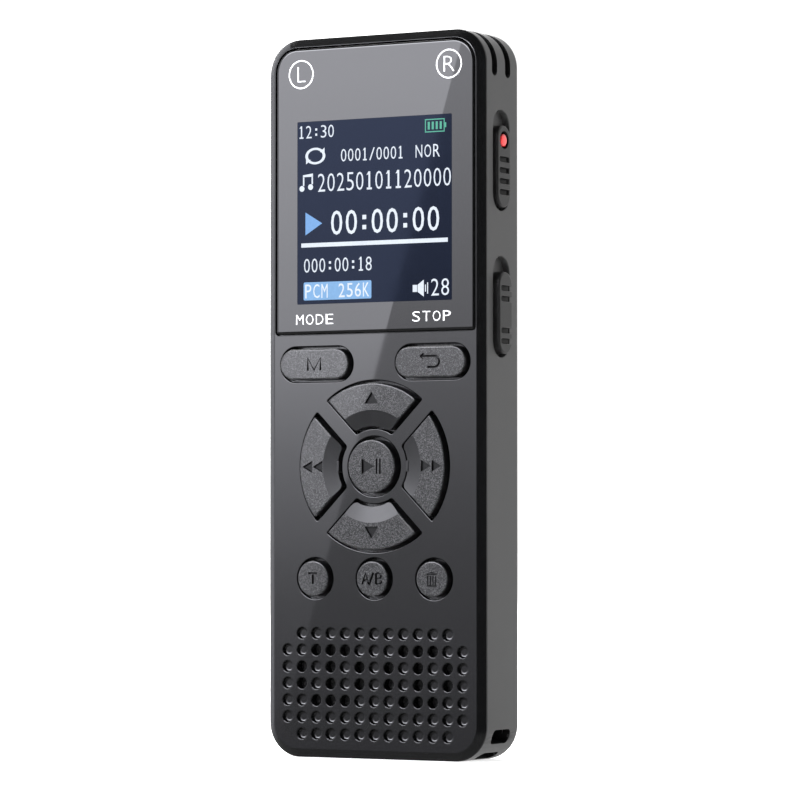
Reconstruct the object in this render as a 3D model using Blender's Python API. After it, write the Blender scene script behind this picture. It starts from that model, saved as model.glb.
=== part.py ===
"""A handheld voice recorder: two case shells, a display behind a lens, ten sprung keys,
two side sliders, a speaker, two microphones and the electronics that they close in.

The recorder stands upright on its bottom end. Lengths are in metres, +Z is up, the front
faces -Y and the two sliders are on the +X side. The origin is the centre of the bottom end.
"""

import math

import bmesh
import bpy
from mathutils import Matrix, Vector

MM = 0.001

# ---------------------------------------------------------------- driving dimensions
CASE_WIDTH = 35.7 * MM
CASE_HEIGHT = 103.6 * MM
CASE_DEPTH = 11.0 * MM
CORNER_RADIUS = 5.0 * MM
BACK_ROUNDING = 1.4 * MM
WALL = 1.2 * MM
CLEARANCE = 0.3 * MM

# The front cover: a plate with a sloping edge, and a plug that fits inside the rear shell.
SLOPE_WIDTH = 1.25 * MM
SLOPE_DEPTH = 0.75 * MM
SEAM_DEPTH = 0.85 * MM
SEAM_GAP = 0.1 * MM
PLATE_DEPTH = 1.3 * MM
PLUG_INSET = 1.45 * MM

# The display lens and what lies behind it.
LENS_HALF_WIDTH = 16.4 * MM
LENS_LOW, LENS_HIGH = 60.8 * MM, 102.2 * MM
LENS_TOP_RADIUS, LENS_LOW_RADIUS = 3.5 * MM, 0.5 * MM
LENS_BACK = 0.75 * MM
LENS_SLOPE = 0.6 * MM
RECESS_DEPTH = 0.9 * MM
RECESS_GAP = 0.12 * MM
PANEL_HALF_WIDTH = 13.4 * MM
PANEL_LOW, PANEL_HIGH = 63.4 * MM, 91.9 * MM

# Keys: every one has a top, a flange that holds it in, and a nub over its snap dome.
KEY_TRAVEL_ROOM = 0.35 * MM
KEY_EDGE = 0.25 * MM
FLANGE_FRONT, FLANGE_BACK = 1.6 * MM, 2.1 * MM
NUB_BACK = 2.3 * MM
NUB_RADIUS = 1.0 * MM
BAR_KEY_X, BAR_KEY_Z = 9.55 * MM, 56.45 * MM
BAR_HOLE_WIDTH, BAR_HOLE_HEIGHT = 12.1 * MM, 5.1 * MM
PAD_CENTRE_Z = 41.7 * MM
PAD_OUTER, PAD_INNER = 12.28 * MM, 5.4 * MM
PAD_STRAP = 2.35 * MM
PAD_FLANGE = 0.22 * MM
PLAY_HOLE = 4.3 * MM
ROUND_HOLE = 2.96 * MM
ROUND_KEY_X, ROUND_KEY_Z = 9.79 * MM, 25.7 * MM
BAR_PROUD, PAD_PROUD, PLAY_PROUD, ROUND_PROUD = 0.75 * MM, 0.8 * MM, 0.85 * MM, 0.65 * MM

# Speaker grille: a square grid, of which some holes go through and the others are dimples.
GRILLE_PITCH = 2.4 * MM
GRILLE_COLUMNS, GRILLE_ROWS = 13, 7
GRILLE_TOP = 17.85 * MM
GRILLE_HOLE = 0.8 * MM
DIMPLE_DEPTH = 0.6 * MM
THROUGH_COLUMNS = {
    1: (2, 3, 4, 8, 9, 10),
    2: (1, 3, 5, 7, 9, 11),
    3: (1, 3, 5, 7, 9, 11),
    4: (2, 3, 4, 8, 9, 10),
}

# Sliders on the +X side. Each knob rests at the low end of its pocket.
SLIDER_DEPTH = 5.2 * MM
POCKET_WIDTH = 4.7 * MM
POCKET_FLOOR = 16.86 * MM
KNOB_WIDTH = 3.9 * MM
KNOB_LENGTH = 11.7 * MM
KNOB_TRAVEL = 1.8 * MM
STEM_HALF_LENGTH, STEM_HALF_DEPTH = 1.6 * MM, 1.0 * MM
RECORD_KNOB_LOW, RECORD_PROUD = 78.3 * MM, 0.5 * MM
HOLD_KNOB_LOW, HOLD_PROUD = 57.5 * MM, 0.75 * MM
MARK_RADIUS = 0.95 * MM

# Microphone slots over the two top corners, and the strap eye in the low +X corner.
MIC_SLOT_WIDTH = 1.55 * MM
MIC_SLOT_DEPTHS = (3.2 * MM, 7.1 * MM)
MIC_SLOT_REACH = 0.9 * MM
EYE_DEPTHS = (3.0 * MM, 7.2 * MM)
EYE_INNER, EYE_BAR = 1.4 * MM, 3.2 * MM
EYE_SIDE_DEGREES = (-6, -31)
EYE_BOTTOM_DEGREES = (-51, -71)

# Inside.
BOARD_FRONT, BOARD_BACK = 3.1 * MM, 3.9 * MM
BOARD_HALF_WIDTH, BOARD_NECK_HALF_WIDTH = 15.2 * MM, 9.7 * MM
BOARD_LOW, BOARD_SHOULDER, BOARD_HIGH = 23.6 * MM, 91.0 * MM, 101.2 * MM
DOME_RADIUS, DOME_HEIGHT = 2.0 * MM, 0.35 * MM
SPEAKER_Z = 11.85 * MM
SPEAKER_WIDTH, SPEAKER_HEIGHT = 28.0 * MM, 13.0 * MM
SCREW_PLACES = ((-13.4, 94.0), (13.4, 94.0), (-14.2, 21.5), (14.2, 21.5))
BOSS_BACK, POST_FRONT = 7.9 * MM, 8.1 * MM
BOSS_RADIUS, POST_RADIUS, SCREW_HOLE = 1.65 * MM, 2.5 * MM, 1.0 * MM
HEAD_RADIUS, SHANK_RADIUS = 1.5 * MM, 0.7 * MM
JACK_X, JACK_DEPTH, JACK_BORE = 6.4 * MM, 6.7 * MM, 1.8 * MM
USB_X, USB_DEPTH = -5.0 * MM, 5.9 * MM
USB_WIDTH, USB_HEIGHT = 8.94 * MM, 3.2 * MM


# ---------------------------------------------------------------- helpers
def clear_scene():
    for obj in list(bpy.data.objects):
        bpy.data.objects.remove(obj, do_unlink=True)


def finish(name, colour, roughness, metallic=0.0, transmission=0.0):
    """A Principled material."""
    made = bpy.data.materials.new(name)
    made.use_nodes = True
    shader = made.node_tree.nodes["Principled BSDF"]
    shader.inputs["Base Color"].default_value = (*colour, 1.0)
    shader.inputs["Roughness"].default_value = roughness
    shader.inputs["Metallic"].default_value = metallic
    shader.inputs["Transmission Weight"].default_value = transmission
    return made


def y_at(depth):
    """World Y of a depth below the front face."""
    return depth - CASE_DEPTH / 2


def place(name, bm, material, origin=(0.0, 0.0, 0.0)):
    """The bmesh, drawn in world coordinates, as an object whose own origin is at origin."""
    bmesh.ops.recalc_face_normals(bm, faces=bm.faces)
    bmesh.ops.translate(bm, verts=bm.verts, vec=-Vector(origin))
    mesh = bpy.data.meshes.new(name)
    bm.to_mesh(mesh)
    bm.free()
    mesh.shade_smooth()
    mesh.set_sharp_from_angle(angle=math.radians(35))
    obj = bpy.data.objects.new(name, mesh)
    obj.location = origin
    bpy.context.scene.collection.objects.link(obj)
    if material:
        mesh.materials.append(material)
    return obj


def boolean(target, tool_bm, operation):
    """Cuts the tool from the target, or joins it on; the tool stays as a hidden helper."""
    tool = place(f"tool_{target.name}_{len(target.modifiers)}", tool_bm, None)
    tool.hide_render = True
    tool.display_type = "WIRE"
    modifier = target.modifiers.new(operation.lower(), "BOOLEAN")
    modifier.operation = operation
    modifier.solver = "EXACT"
    modifier.object = tool


def cut(target, tool_bm):
    boolean(target, tool_bm, "DIFFERENCE")


def join(target, tool_bm):
    boolean(target, tool_bm, "UNION")


def rounded_rectangle(low, high, radii, steps=5):
    """Outline of (x, z) points; radii are those of the corners, from (low, low) round."""
    corners = (
        (low[0], low[1], 180),
        (high[0], low[1], 270),
        (high[0], high[1], 0),
        (low[0], high[1], 90),
    )
    outline = []
    for (x, z, start), radius in zip(corners, radii):
        centre_x = x + math.copysign(radius, -1 if x == high[0] else 1)
        centre_z = z + math.copysign(radius, -1 if z == high[1] else 1)
        for step in range(steps + 1):
            angle = math.radians(start + 90 * step / steps)
            outline.append(
                (centre_x + radius * math.cos(angle), centre_z + radius * math.sin(angle))
            )
    return outline


def case_outline(inset):
    half, radius = CASE_WIDTH / 2 - inset, CORNER_RADIUS - inset
    return rounded_rectangle((-half, inset), (half, CASE_HEIGHT - inset), (radius,) * 4, 6)


def stadium(width, height, x=0.0, z=0.0, steps=5):
    """A bar with round ends, lying along its longer side."""
    end = min(width, height) / 2 * 0.9999
    low, high = (x - width / 2, z - height / 2), (x + width / 2, z + height / 2)
    return rounded_rectangle(low, high, (end,) * 4, steps)


def circle(radius, x=0.0, z=0.0, sides=20):
    angles = (2 * math.pi * side / sides for side in range(sides))
    return [(x + radius * math.cos(a), z + radius * math.sin(a)) for a in angles]


def pad_segment(turn, outer, inner, strap_half, steps=8):
    """One quarter of the ring of arrow keys; its sides run parallel to the diagonal straps."""
    from_outer = math.degrees(math.asin(strap_half / outer))
    from_inner = math.degrees(math.asin(strap_half / inner))
    outline = []
    for radius, start, end in (
        (outer, turn - 45 + from_outer, turn + 45 - from_outer),
        (inner, turn + 45 - from_inner, turn - 45 + from_inner),
    ):
        for step in range(steps + 1):
            angle = math.radians(start + (end - start) * step / steps)
            outline.append((radius * math.cos(angle), PAD_CENTRE_Z + radius * math.sin(angle)))
    return outline


def stack(rings):
    """A closed solid through rings of equal numbers of 3-D points, extruded one by one."""
    bm = bmesh.new()
    face = bm.faces.new([bm.verts.new(point) for point in rings[0]])
    for ring in rings[1:]:
        whole = [face, *face.edges, *face.verts]
        grown = bmesh.ops.extrude_face_region(bm, geom=whole)["geom"]
        face = next(item for item in grown if isinstance(item, bmesh.types.BMFace))
        for vert, point in zip(face.verts, ring):
            vert.co = point
    return bm


def loft(rings):
    """A closed solid through (x, z) outlines, each given with its depth."""
    return stack([[(x, y_at(depth), z) for x, z in outline] for outline, depth in rings])


def prism(outline, front, back):
    return loft(((outline, front), (outline, back)))


def block(low, high, bevel=0.0):
    """A box between two (x, depth, z) corners, with its edges bevelled where a width is given."""
    bm = bmesh.new()
    bmesh.ops.create_cube(bm, size=1.0)
    size = [high[axis] - low[axis] for axis in range(3)]
    middle = Vector([(high[axis] + low[axis]) / 2 for axis in range(3)])
    bmesh.ops.scale(bm, verts=bm.verts, vec=size)
    bmesh.ops.translate(bm, verts=bm.verts, vec=middle + Vector((0, y_at(0), 0)))
    if bevel:
        bmesh.ops.bevel(
            bm, geom=bm.edges, offset=bevel, segments=1, profile=0.5, affect="EDGES", material=-1
        )
    return bm


def rod(start, end, radius, sides=16, end_radius=None):
    """A cylinder or a cone between two (x, depth, z) points."""
    start, end = (Vector((x, y_at(d), z)) for x, d, z in (start, end))
    bm = bmesh.new()
    bmesh.ops.create_cone(
        bm,
        cap_ends=True,
        segments=sides,
        radius1=radius,
        radius2=radius if end_radius is None else end_radius,
        depth=(end - start).length,
    )
    turn = Vector((0, 0, 1)).rotation_difference(end - start).to_matrix().to_4x4()
    bmesh.ops.transform(bm, matrix=Matrix.Translation((start + end) / 2) @ turn, verts=bm.verts)
    return bm


def merged(parts):
    """Several bmeshes that don't touch, as one cutter."""
    whole = bmesh.new()
    for part in parts:
        mesh = bpy.data.meshes.new("merge")
        part.to_mesh(mesh)
        part.free()
        whole.from_mesh(mesh)
        bpy.data.meshes.remove(mesh)
    return whole


# ---------------------------------------------------------------- finishes
COVER = finish("cover_plastic", (0.045, 0.046, 0.05), 0.45)
SHELL = finish("shell_plastic", (0.11, 0.11, 0.112), 0.5)
KEY = finish("key_plastic", (0.06, 0.06, 0.063), 0.55)
KNOB = finish("knob_plastic", (0.09, 0.09, 0.092), 0.5)
MARK = finish("red_mark", (0.6, 0.03, 0.03), 0.35)
LENS = finish("lens_clear", (0.5, 0.5, 0.52), 0.05, 0.0, 0.8)
GLASS = finish("display_glass", (0.01, 0.015, 0.035), 0.1)
LIGHT_GUIDE = finish("light_guide", (0.85, 0.86, 0.88), 0.4)
FLEX = finish("flex_film", (0.45, 0.25, 0.06), 0.35)
BOARD = finish("board_green", (0.02, 0.12, 0.05), 0.45)
STEEL = finish("steel", (0.6, 0.6, 0.6), 0.3, 1.0)
CHIP = finish("chip_black", (0.02, 0.02, 0.022), 0.5)
RUBBER = finish("rubber", (0.02, 0.02, 0.02), 0.8)
CONE = finish("speaker_cone", (0.05, 0.05, 0.05), 0.6)
CLOTH = finish("grille_cloth", (0.01, 0.01, 0.01), 0.9)
FOIL = finish("battery_foil", (0.55, 0.56, 0.58), 0.35, 0.6)
FOAM = finish("foam", (0.05, 0.05, 0.05), 0.9)
RED_WIRE = finish("red_wire", (0.5, 0.02, 0.02), 0.5)
BLACK_WIRE = finish("black_wire", (0.02, 0.02, 0.02), 0.5)
SWITCH = finish("switch_housing", (0.03, 0.03, 0.03), 0.5)
LEVER = finish("switch_lever", (0.8, 0.8, 0.78), 0.5)


# ---------------------------------------------------------------- front cover
def lens_outline(gap):
    half, high, low = LENS_HALF_WIDTH + gap, LENS_HIGH + gap, LENS_LOW - gap
    top, bottom = LENS_TOP_RADIUS + gap, LENS_LOW_RADIUS + gap
    return rounded_rectangle((-half, low), (half, high), (bottom, bottom, top, top))


def grille_cutters():
    """Through holes and dimples; the two outer rows have no hole in their end columns."""
    last_row, last_column = GRILLE_ROWS - 1, GRILLE_COLUMNS - 1
    for row in range(GRILLE_ROWS):
        for column in range(GRILLE_COLUMNS):
            if row in (0, last_row) and column in (0, last_column):
                continue
            x = (column - last_column / 2) * GRILLE_PITCH
            z = GRILLE_TOP - row * GRILLE_PITCH
            through = column in THROUGH_COLUMNS.get(row, ())
            depth = PLATE_DEPTH + WALL if through else DIMPLE_DEPTH
            yield rod((x, -WALL, z), (x, depth, z), GRILLE_HOLE, 8)


def key_holes():
    through = PLATE_DEPTH + WALL
    for side in (-1, 1):
        outline = stadium(BAR_HOLE_WIDTH, BAR_HOLE_HEIGHT, side * BAR_KEY_X, BAR_KEY_Z)
        yield prism(outline, -WALL, through)
    for turn in (0, 90, 180, 270):
        outline = pad_segment(turn, PAD_OUTER, PAD_INNER, PAD_STRAP / 2)
        yield prism(outline, -WALL, through)
    yield prism(circle(PLAY_HOLE, 0.0, PAD_CENTRE_Z), -WALL, through)
    for x in (-ROUND_KEY_X, 0.0, ROUND_KEY_X):
        yield prism(circle(ROUND_HOLE, x, ROUND_KEY_Z), -WALL, through)


def make_front_cover():
    rings = (
        (case_outline(SLOPE_WIDTH), 0.0),
        (case_outline(0.0), SLOPE_DEPTH),
        (case_outline(0.0), SEAM_DEPTH),
        (case_outline(PLUG_INSET), SEAM_DEPTH),
        (case_outline(PLUG_INSET), PLATE_DEPTH),
    )
    cover = place("front_cover", loft(rings), COVER)
    cut(cover, prism(lens_outline(RECESS_GAP), -WALL, RECESS_DEPTH))
    half = PANEL_HALF_WIDTH + CLEARANCE
    low, high = PANEL_LOW - CLEARANCE, PANEL_HIGH + CLEARANCE
    window = rounded_rectangle((-half, low), (half, high), (0.4 * MM,) * 4, 2)
    cut(cover, prism(window, 0.0, PLATE_DEPTH + WALL))
    cut(cover, merged(key_holes()))
    cut(cover, merged(grille_cutters()))
    for x, z in SCREW_PLACES:
        place_x, place_z = x * MM, z * MM
        outline = circle(BOSS_RADIUS, place_x, place_z, 16)
        join(cover, prism(outline, PLATE_DEPTH - CLEARANCE, BOSS_BACK))
        bore = circle(SCREW_HOLE, place_x, place_z, 12)
        cut(cover, prism(bore, PLATE_DEPTH + WALL, BOSS_BACK + WALL))


# ---------------------------------------------------------------- rear shell
def rear_outer():
    """The tub's outside, with its back edge rounded."""
    rings = [(case_outline(0.0), SEAM_DEPTH + SEAM_GAP)]
    steps = 4
    for step in range(steps + 1):
        angle = math.pi / 2 * step / steps
        inset = BACK_ROUNDING * (1 - math.cos(angle))
        depth = CASE_DEPTH - BACK_ROUNDING * (1 - math.sin(angle))
        rings.append((case_outline(inset), depth))
    return loft(rings)


def corner_centre(side, top):
    """(x, z) of the centre of a case corner."""
    z = CASE_HEIGHT - CORNER_RADIUS if top else CORNER_RADIUS
    return side * (CASE_WIDTH / 2 - CORNER_RADIUS), z


def mic_slot_cutters(side):
    """Each slot is a band over the corner, with a round end on the side and on the top."""
    x, z = corner_centre(side, top=True)
    inner, outer = CORNER_RADIUS - WALL - CLEARANCE, CORNER_RADIUS + WALL
    sweep = [math.radians(90 * step / 8) for step in range(9)]
    for depth in MIC_SLOT_DEPTHS:
        half = MIC_SLOT_WIDTH / 2
        band = [(x + side * outer, z - MIC_SLOT_REACH)]
        band += [(x + side * outer * math.cos(a), z + outer * math.sin(a)) for a in sweep]
        band += [(x - side * MIC_SLOT_REACH, z + outer), (x - side * MIC_SLOT_REACH, z + inner)]
        band += [(x + side * inner * math.cos(a), z + inner * math.sin(a)) for a in sweep[::-1]]
        band += [(x + side * inner, z - MIC_SLOT_REACH)]
        yield prism(band, depth - half, depth + half)
        low_end = z - MIC_SLOT_REACH
        yield rod((x + side * inner, depth, low_end), (x + side * outer, depth, low_end), half)
        top_end = x - side * MIC_SLOT_REACH
        yield rod((top_end, depth, z + inner), (top_end, depth, z + outer), half)


def strap_eye_outline():
    """A channel round the bar of the corner, open to the side and to the bottom."""
    x, z = corner_centre(1, top=False)
    side_start, side_end = EYE_SIDE_DEGREES
    bottom_start, bottom_end = EYE_BOTTOM_DEGREES
    beyond = CORNER_RADIUS + WALL
    path = [(beyond, side_start), (beyond, side_end)]
    path += [(EYE_BAR, side_end + (bottom_start - side_end) * step / 3) for step in range(4)]
    path += [(beyond, bottom_start), (beyond, bottom_end)]
    path += [(EYE_INNER, bottom_end + (side_start - bottom_end) * step / 5) for step in range(6)]
    polar = ((radius, math.radians(degrees)) for radius, degrees in path)
    return [(x + radius * math.cos(a), z + radius * math.sin(a)) for radius, a in polar]


def side_outline(width, low, high, steps=6):
    """A bar with round ends on the +X side, as (depth, z) points about the sliders' depth."""
    return stadium(width, high - low, SLIDER_DEPTH, (low + high) / 2, steps)


def side_loft(rings):
    """A closed solid through (depth, z) outlines, each given with its X."""
    return stack([[(x, y_at(depth), z) for depth, z in outline] for outline, x in rings])


def make_rear_shell():
    shell = place("rear_shell", rear_outer(), SHELL)
    floor, floor_edge = CASE_DEPTH - WALL, 0.8 * MM
    cavity = (
        (case_outline(WALL), 0.0),
        (case_outline(WALL), floor - floor_edge),
        (case_outline(WALL + floor_edge), floor),
    )
    cut(shell, loft(cavity))

    wall_middle = CASE_WIDTH / 2 - WALL / 2
    pad_inner = 15.4 * MM
    pad_front, pad_back = 2.75 * MM, 8.1 * MM
    for low in (RECORD_KNOB_LOW, HOLD_KNOB_LOW):
        pocket_low, pocket_high = low - 0.4 * MM, low + KNOB_LENGTH + KNOB_TRAVEL + 0.4 * MM
        pad_low, pad_high = pocket_low - 1.1 * MM, pocket_high + 0.5 * MM
        join(shell, block((pad_inner, pad_front, pad_low), (wall_middle, pad_back, pad_high)))
        pocket = side_outline(POCKET_WIDTH, pocket_low, pocket_high)
        cut(shell, side_loft(((pocket, POCKET_FLOOR), (pocket, CASE_WIDTH / 2 + WALL))))
        rest = low + KNOB_LENGTH / 2
        stem_room = 0.25 * MM
        slot_low = rest - STEM_HALF_LENGTH - stem_room
        slot_high = rest + STEM_HALF_LENGTH + KNOB_TRAVEL + stem_room
        slot_half = STEM_HALF_DEPTH + stem_room
        cut(
            shell,
            block(
                (pad_inner - WALL, SLIDER_DEPTH - slot_half, slot_low),
                (POCKET_FLOOR + WALL / 2, SLIDER_DEPTH + slot_half, slot_high),
            ),
        )

    for side in (-1, 1):
        for slot in mic_slot_cutters(side):
            cut(shell, slot)

    eye_block = block((11.9 * MM, 2.1 * MM, WALL / 2), (wall_middle, 8.1 * MM, 6.1 * MM))
    join(shell, eye_block)
    boolean(shell, prism(case_outline(0.0), 0.0, CASE_DEPTH), "INTERSECT")
    cut(shell, prism(strap_eye_outline(), *EYE_DEPTHS))

    for x, z in SCREW_PLACES:
        place_x, place_z = x * MM, z * MM
        post = circle(POST_RADIUS, place_x, place_z, 16)
        join(shell, prism(post, POST_FRONT, CASE_DEPTH - WALL / 2))
        bore = circle(SCREW_HOLE, place_x, place_z, 12)
        cut(shell, prism(bore, POST_FRONT - WALL, CASE_DEPTH + WALL))
        head = circle(HEAD_RADIUS + CLEARANCE, place_x, place_z, 16)
        cut(shell, prism(head, CASE_DEPTH - 1.5 * MM, CASE_DEPTH + WALL))

    top_inside, above = CASE_HEIGHT - 2 * WALL, CASE_HEIGHT + WALL
    cut(shell, rod((JACK_X, JACK_DEPTH, top_inside), (JACK_X, JACK_DEPTH, above), 3.1 * MM))
    cut(shell, usb_bar(USB_WIDTH + 2 * CLEARANCE, USB_HEIGHT + 2 * CLEARANCE, top_inside, above))


# ---------------------------------------------------------------- lens and display
def make_display():
    lens = (
        (lens_outline(-LENS_SLOPE * 0.8), -0.1 * MM),
        (lens_outline(0.0), 0.3 * MM),
        (lens_outline(0.0), LENS_BACK),
    )
    place("display_lens", loft(lens), LENS)
    half = PANEL_HALF_WIDTH
    panel = rounded_rectangle((-half, PANEL_LOW), (half, PANEL_HIGH), (0.2 * MM,) * 4, 1)
    place("display_panel", prism(panel, 0.95 * MM, 1.7 * MM), GLASS)
    low, high = (-half, 1.9 * MM, PANEL_LOW), (half, 2.8 * MM, PANEL_HIGH)
    place("display_backlight", block(low, high, 0.15 * MM), LIGHT_GUIDE)
    place("display_flex", flex_strip(), FLEX)


def flex_strip():
    """The ribbon from the display's low edge, bent back and down onto the board."""
    film, half = 0.15 * MM, 2.5 * MM
    route = ((1.35, 63.1), (1.35, 61.3), (1.6, 60.9), (2.6, 60.5), (2.85, 60.1), (2.85, 57.6))
    front = [(depth * MM, z * MM) for depth, z in route]
    back = [(depth + film, z + film / 2) for depth, z in reversed(front)]
    return side_loft(((front + back, -half), (front + back, half)))


# ---------------------------------------------------------------- keys
def make_key(name, top, edge, flange, nub, proud):
    """A key from its three outlines and the (x, z) of its nub, which is its own origin too."""
    x, z = nub
    origin = (x, y_at(0.0), z)
    rings = ((edge, -proud), (top, KEY_EDGE - proud), (top, FLANGE_FRONT + CLEARANCE / 2))
    key = place(name, loft(rings), KEY, origin)
    join(key, prism(flange, FLANGE_FRONT, FLANGE_BACK))
    join(key, prism(circle(NUB_RADIUS, x, z, 12), FLANGE_BACK - CLEARANCE / 2, NUB_BACK))


def make_keys():
    """Makes all ten keys, and returns the (name, x, z) of each."""
    places = []
    room = KEY_TRAVEL_ROOM
    for name, side in (("key_mode", -1), ("key_back", 1)):
        x = side * BAR_KEY_X
        width, height = BAR_HOLE_WIDTH - 2 * room, BAR_HOLE_HEIGHT - 2 * room
        top = stadium(width, height, x, BAR_KEY_Z)
        edge = stadium(width - KEY_EDGE, height - KEY_EDGE, x, BAR_KEY_Z)
        flange = stadium(BAR_HOLE_WIDTH + 2 * room, BAR_HOLE_HEIGHT + 2 * room, x, BAR_KEY_Z)
        make_key(name, top, edge, flange, (x, BAR_KEY_Z), BAR_PROUD)
        places.append((name[4:], x, BAR_KEY_Z))

    middle = (PAD_OUTER + PAD_INNER) / 2 + 0.8 * MM
    strap = PAD_STRAP / 2
    for name, turn in (("key_right", 0), ("key_up", 90), ("key_left", 180), ("key_down", 270)):
        top = pad_segment(turn, PAD_OUTER - room, PAD_INNER + room, strap + room)
        slim = room + KEY_EDGE
        edge = pad_segment(turn, PAD_OUTER - slim, PAD_INNER + slim, strap + slim)
        flange = pad_segment(turn, PAD_OUTER + PAD_FLANGE, PAD_INNER - PAD_FLANGE, strap - room)
        angle = math.radians(turn)
        x, z = middle * math.cos(angle), PAD_CENTRE_Z + middle * math.sin(angle)
        make_key(name, top, edge, flange, (x, z), PAD_PROUD)
        places.append((name[4:], x, z))

    play = (0.0, PAD_CENTRE_Z)
    rounds = [("key_play", play, PLAY_HOLE, PLAY_PROUD, 0.45 * MM, PLAY_HOLE + 0.4 * MM)]
    for name, x in (("key_t", -ROUND_KEY_X), ("key_ab", 0.0), ("key_delete", ROUND_KEY_X)):
        where = (x, ROUND_KEY_Z)
        rounds.append((name, where, ROUND_HOLE, ROUND_PROUD, 0.4 * MM, ROUND_HOLE + 0.34 * MM))
    for name, (x, z), hole, proud, gap, flange_radius in rounds:
        top = circle(hole - gap, x, z)
        edge = circle(hole - gap - KEY_EDGE, x, z)
        make_key(name, top, edge, circle(flange_radius, x, z), (x, z), proud)
        places.append((name[4:], x, z))
    return places


# ---------------------------------------------------------------- sliders and switches
def make_slider(name, knob_low, proud):
    """A knob with a forked stem, and the slide switch whose lever the fork holds."""
    knob_high = knob_low + KNOB_LENGTH
    rest = (knob_low + knob_high) / 2
    face = CASE_WIDTH / 2 + proud
    edge = 0.3 * MM
    outline = side_outline(KNOB_WIDTH, knob_low, knob_high)
    top = side_outline(KNOB_WIDTH - 2 * edge, knob_low + edge, knob_high - edge)
    under = POCKET_FLOOR + 0.2 * MM
    rings = ((outline, under), (outline, face - edge), (top, face))
    origin = (CASE_WIDTH / 2, y_at(SLIDER_DEPTH), rest)
    knob = place(f"{name}_slider", side_loft(rings), KNOB, origin)
    stem_inner = 14.2 * MM
    stem_low = (stem_inner, SLIDER_DEPTH - STEM_HALF_DEPTH, rest - STEM_HALF_LENGTH)
    stem_high = (under + edge, SLIDER_DEPTH + STEM_HALF_DEPTH, rest + STEM_HALF_LENGTH)
    join(knob, block(stem_low, stem_high))
    lever_half, lever_half_depth, lever_tip = 0.6 * MM, 0.45 * MM, 15.5 * MM
    gap = 0.22 * MM
    fork_low = (stem_inner - WALL, SLIDER_DEPTH - lever_half_depth - gap, rest - lever_half - gap)
    fork_high = (lever_tip + gap, SLIDER_DEPTH + lever_half_depth + gap, rest + lever_half + gap)
    cut(knob, block(fork_low, fork_high))
    for step in range(4):
        groove = groove_height(name, step)
        cut(knob, groove_cutter(groove, face))

    body_inner, body_outer = 9.3 * MM, 13.7 * MM
    middle = rest + KNOB_TRAVEL / 2
    body_half = 4.4 * MM
    low = (body_inner, BOARD_BACK + 0.2 * MM, middle - body_half)
    high = (body_outer, 6.6 * MM, middle + body_half)
    body = place(f"{name}_switch", block(low, high), SWITCH)
    slot_half = KNOB_TRAVEL / 2 + lever_half + CLEARANCE
    slot_low = (body_outer - 1.4 * MM, SLIDER_DEPTH - lever_half_depth - gap, middle - slot_half)
    slot_high = (body_outer + WALL, SLIDER_DEPTH + lever_half_depth + gap, middle + slot_half)
    cut(body, block(slot_low, slot_high))
    lever_low = (body_outer - 1.1 * MM, SLIDER_DEPTH - lever_half_depth, rest - lever_half)
    lever_high = (lever_tip, SLIDER_DEPTH + lever_half_depth, rest + lever_half)
    lever = place(f"{name}_lever", block(lever_low, lever_high), LEVER, origin)
    lever.parent = knob
    lever.matrix_parent_inverse = Matrix.Translation(-Vector(origin))
    return knob, face


def groove_height(name, step):
    """Grip grooves: four close together on the record knob, two pairs on the hold knob."""
    if name == "record":
        return RECORD_KNOB_LOW + (2.2 + 1.55 * step) * MM
    return HOLD_KNOB_LOW + (1.85 + 1.5 * step + (3.0 if step > 1 else 0.0)) * MM


def groove_cutter(z, face):
    half_height, half_length, depth = 0.4 * MM, 1.55 * MM, 0.35 * MM
    low = (face - depth, SLIDER_DEPTH - half_length, z - half_height)
    return block(low, (face + WALL, SLIDER_DEPTH + KNOB_WIDTH, z + half_height))


def make_sliders():
    knob, face = make_slider("record", RECORD_KNOB_LOW, RECORD_PROUD)
    mark_z = RECORD_KNOB_LOW + 9.6 * MM
    seat = 0.5 * MM
    behind, front = (face - seat, SLIDER_DEPTH, mark_z), (face + WALL, SLIDER_DEPTH, mark_z)
    cut(knob, rod(behind, front, MARK_RADIUS + 0.2 * MM))
    base = (face - seat + 0.12 * MM, SLIDER_DEPTH, mark_z)
    tip = (face + 0.05 * MM, SLIDER_DEPTH, mark_z)
    origin = tuple(knob.location)
    mark = place("record_mark", rod(base, tip, MARK_RADIUS, 16, MARK_RADIUS * 0.8), MARK, origin)
    mark.parent = knob
    mark.matrix_parent_inverse = Matrix.Translation(-Vector(origin))
    make_slider("hold", HOLD_KNOB_LOW, HOLD_PROUD)


# ---------------------------------------------------------------- board and what it carries
def make_board(key_places):
    half, neck = BOARD_HALF_WIDTH, BOARD_NECK_HALF_WIDTH
    right = [(half, BOARD_LOW), (half, BOARD_SHOULDER), (neck, BOARD_SHOULDER), (neck, BOARD_HIGH)]
    outline = right + [(-x, z) for x, z in reversed(right)]
    place("main_board", prism(outline, BOARD_FRONT, BOARD_BACK), BOARD)
    foot = BOARD_FRONT - 0.05 * MM
    for name, x, z in key_places:
        rings = [(circle(DOME_RADIUS, x, z, 10), foot)]
        for share, rise in ((1.0, 0.2), (0.75, 0.7), (0.35, 1.0)):
            rings.append((circle(DOME_RADIUS * share, x, z, 10), foot - DOME_HEIGHT * rise))
        place(f"dome_{name}", loft(rings), STEEL)

    back = BOARD_BACK + 0.1 * MM
    chips = (
        ("processor_chip", (-12.0, 75.5), (-3.0, 84.5), 1.0, CHIP),
        ("memory_chip", (-1.0, 74.5), (7.0, 80.5), 0.9, CHIP),
        ("clock_crystal", (-8.6, 86.5), (-5.4, 89.0), 0.8, STEEL),
    )
    for name, low, high, height, material in chips:
        first = (low[0] * MM, back, low[1] * MM)
        last = (high[0] * MM, back + height * MM, high[1] * MM)
        place(name, block(first, last, 0.1 * MM), material)


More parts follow.
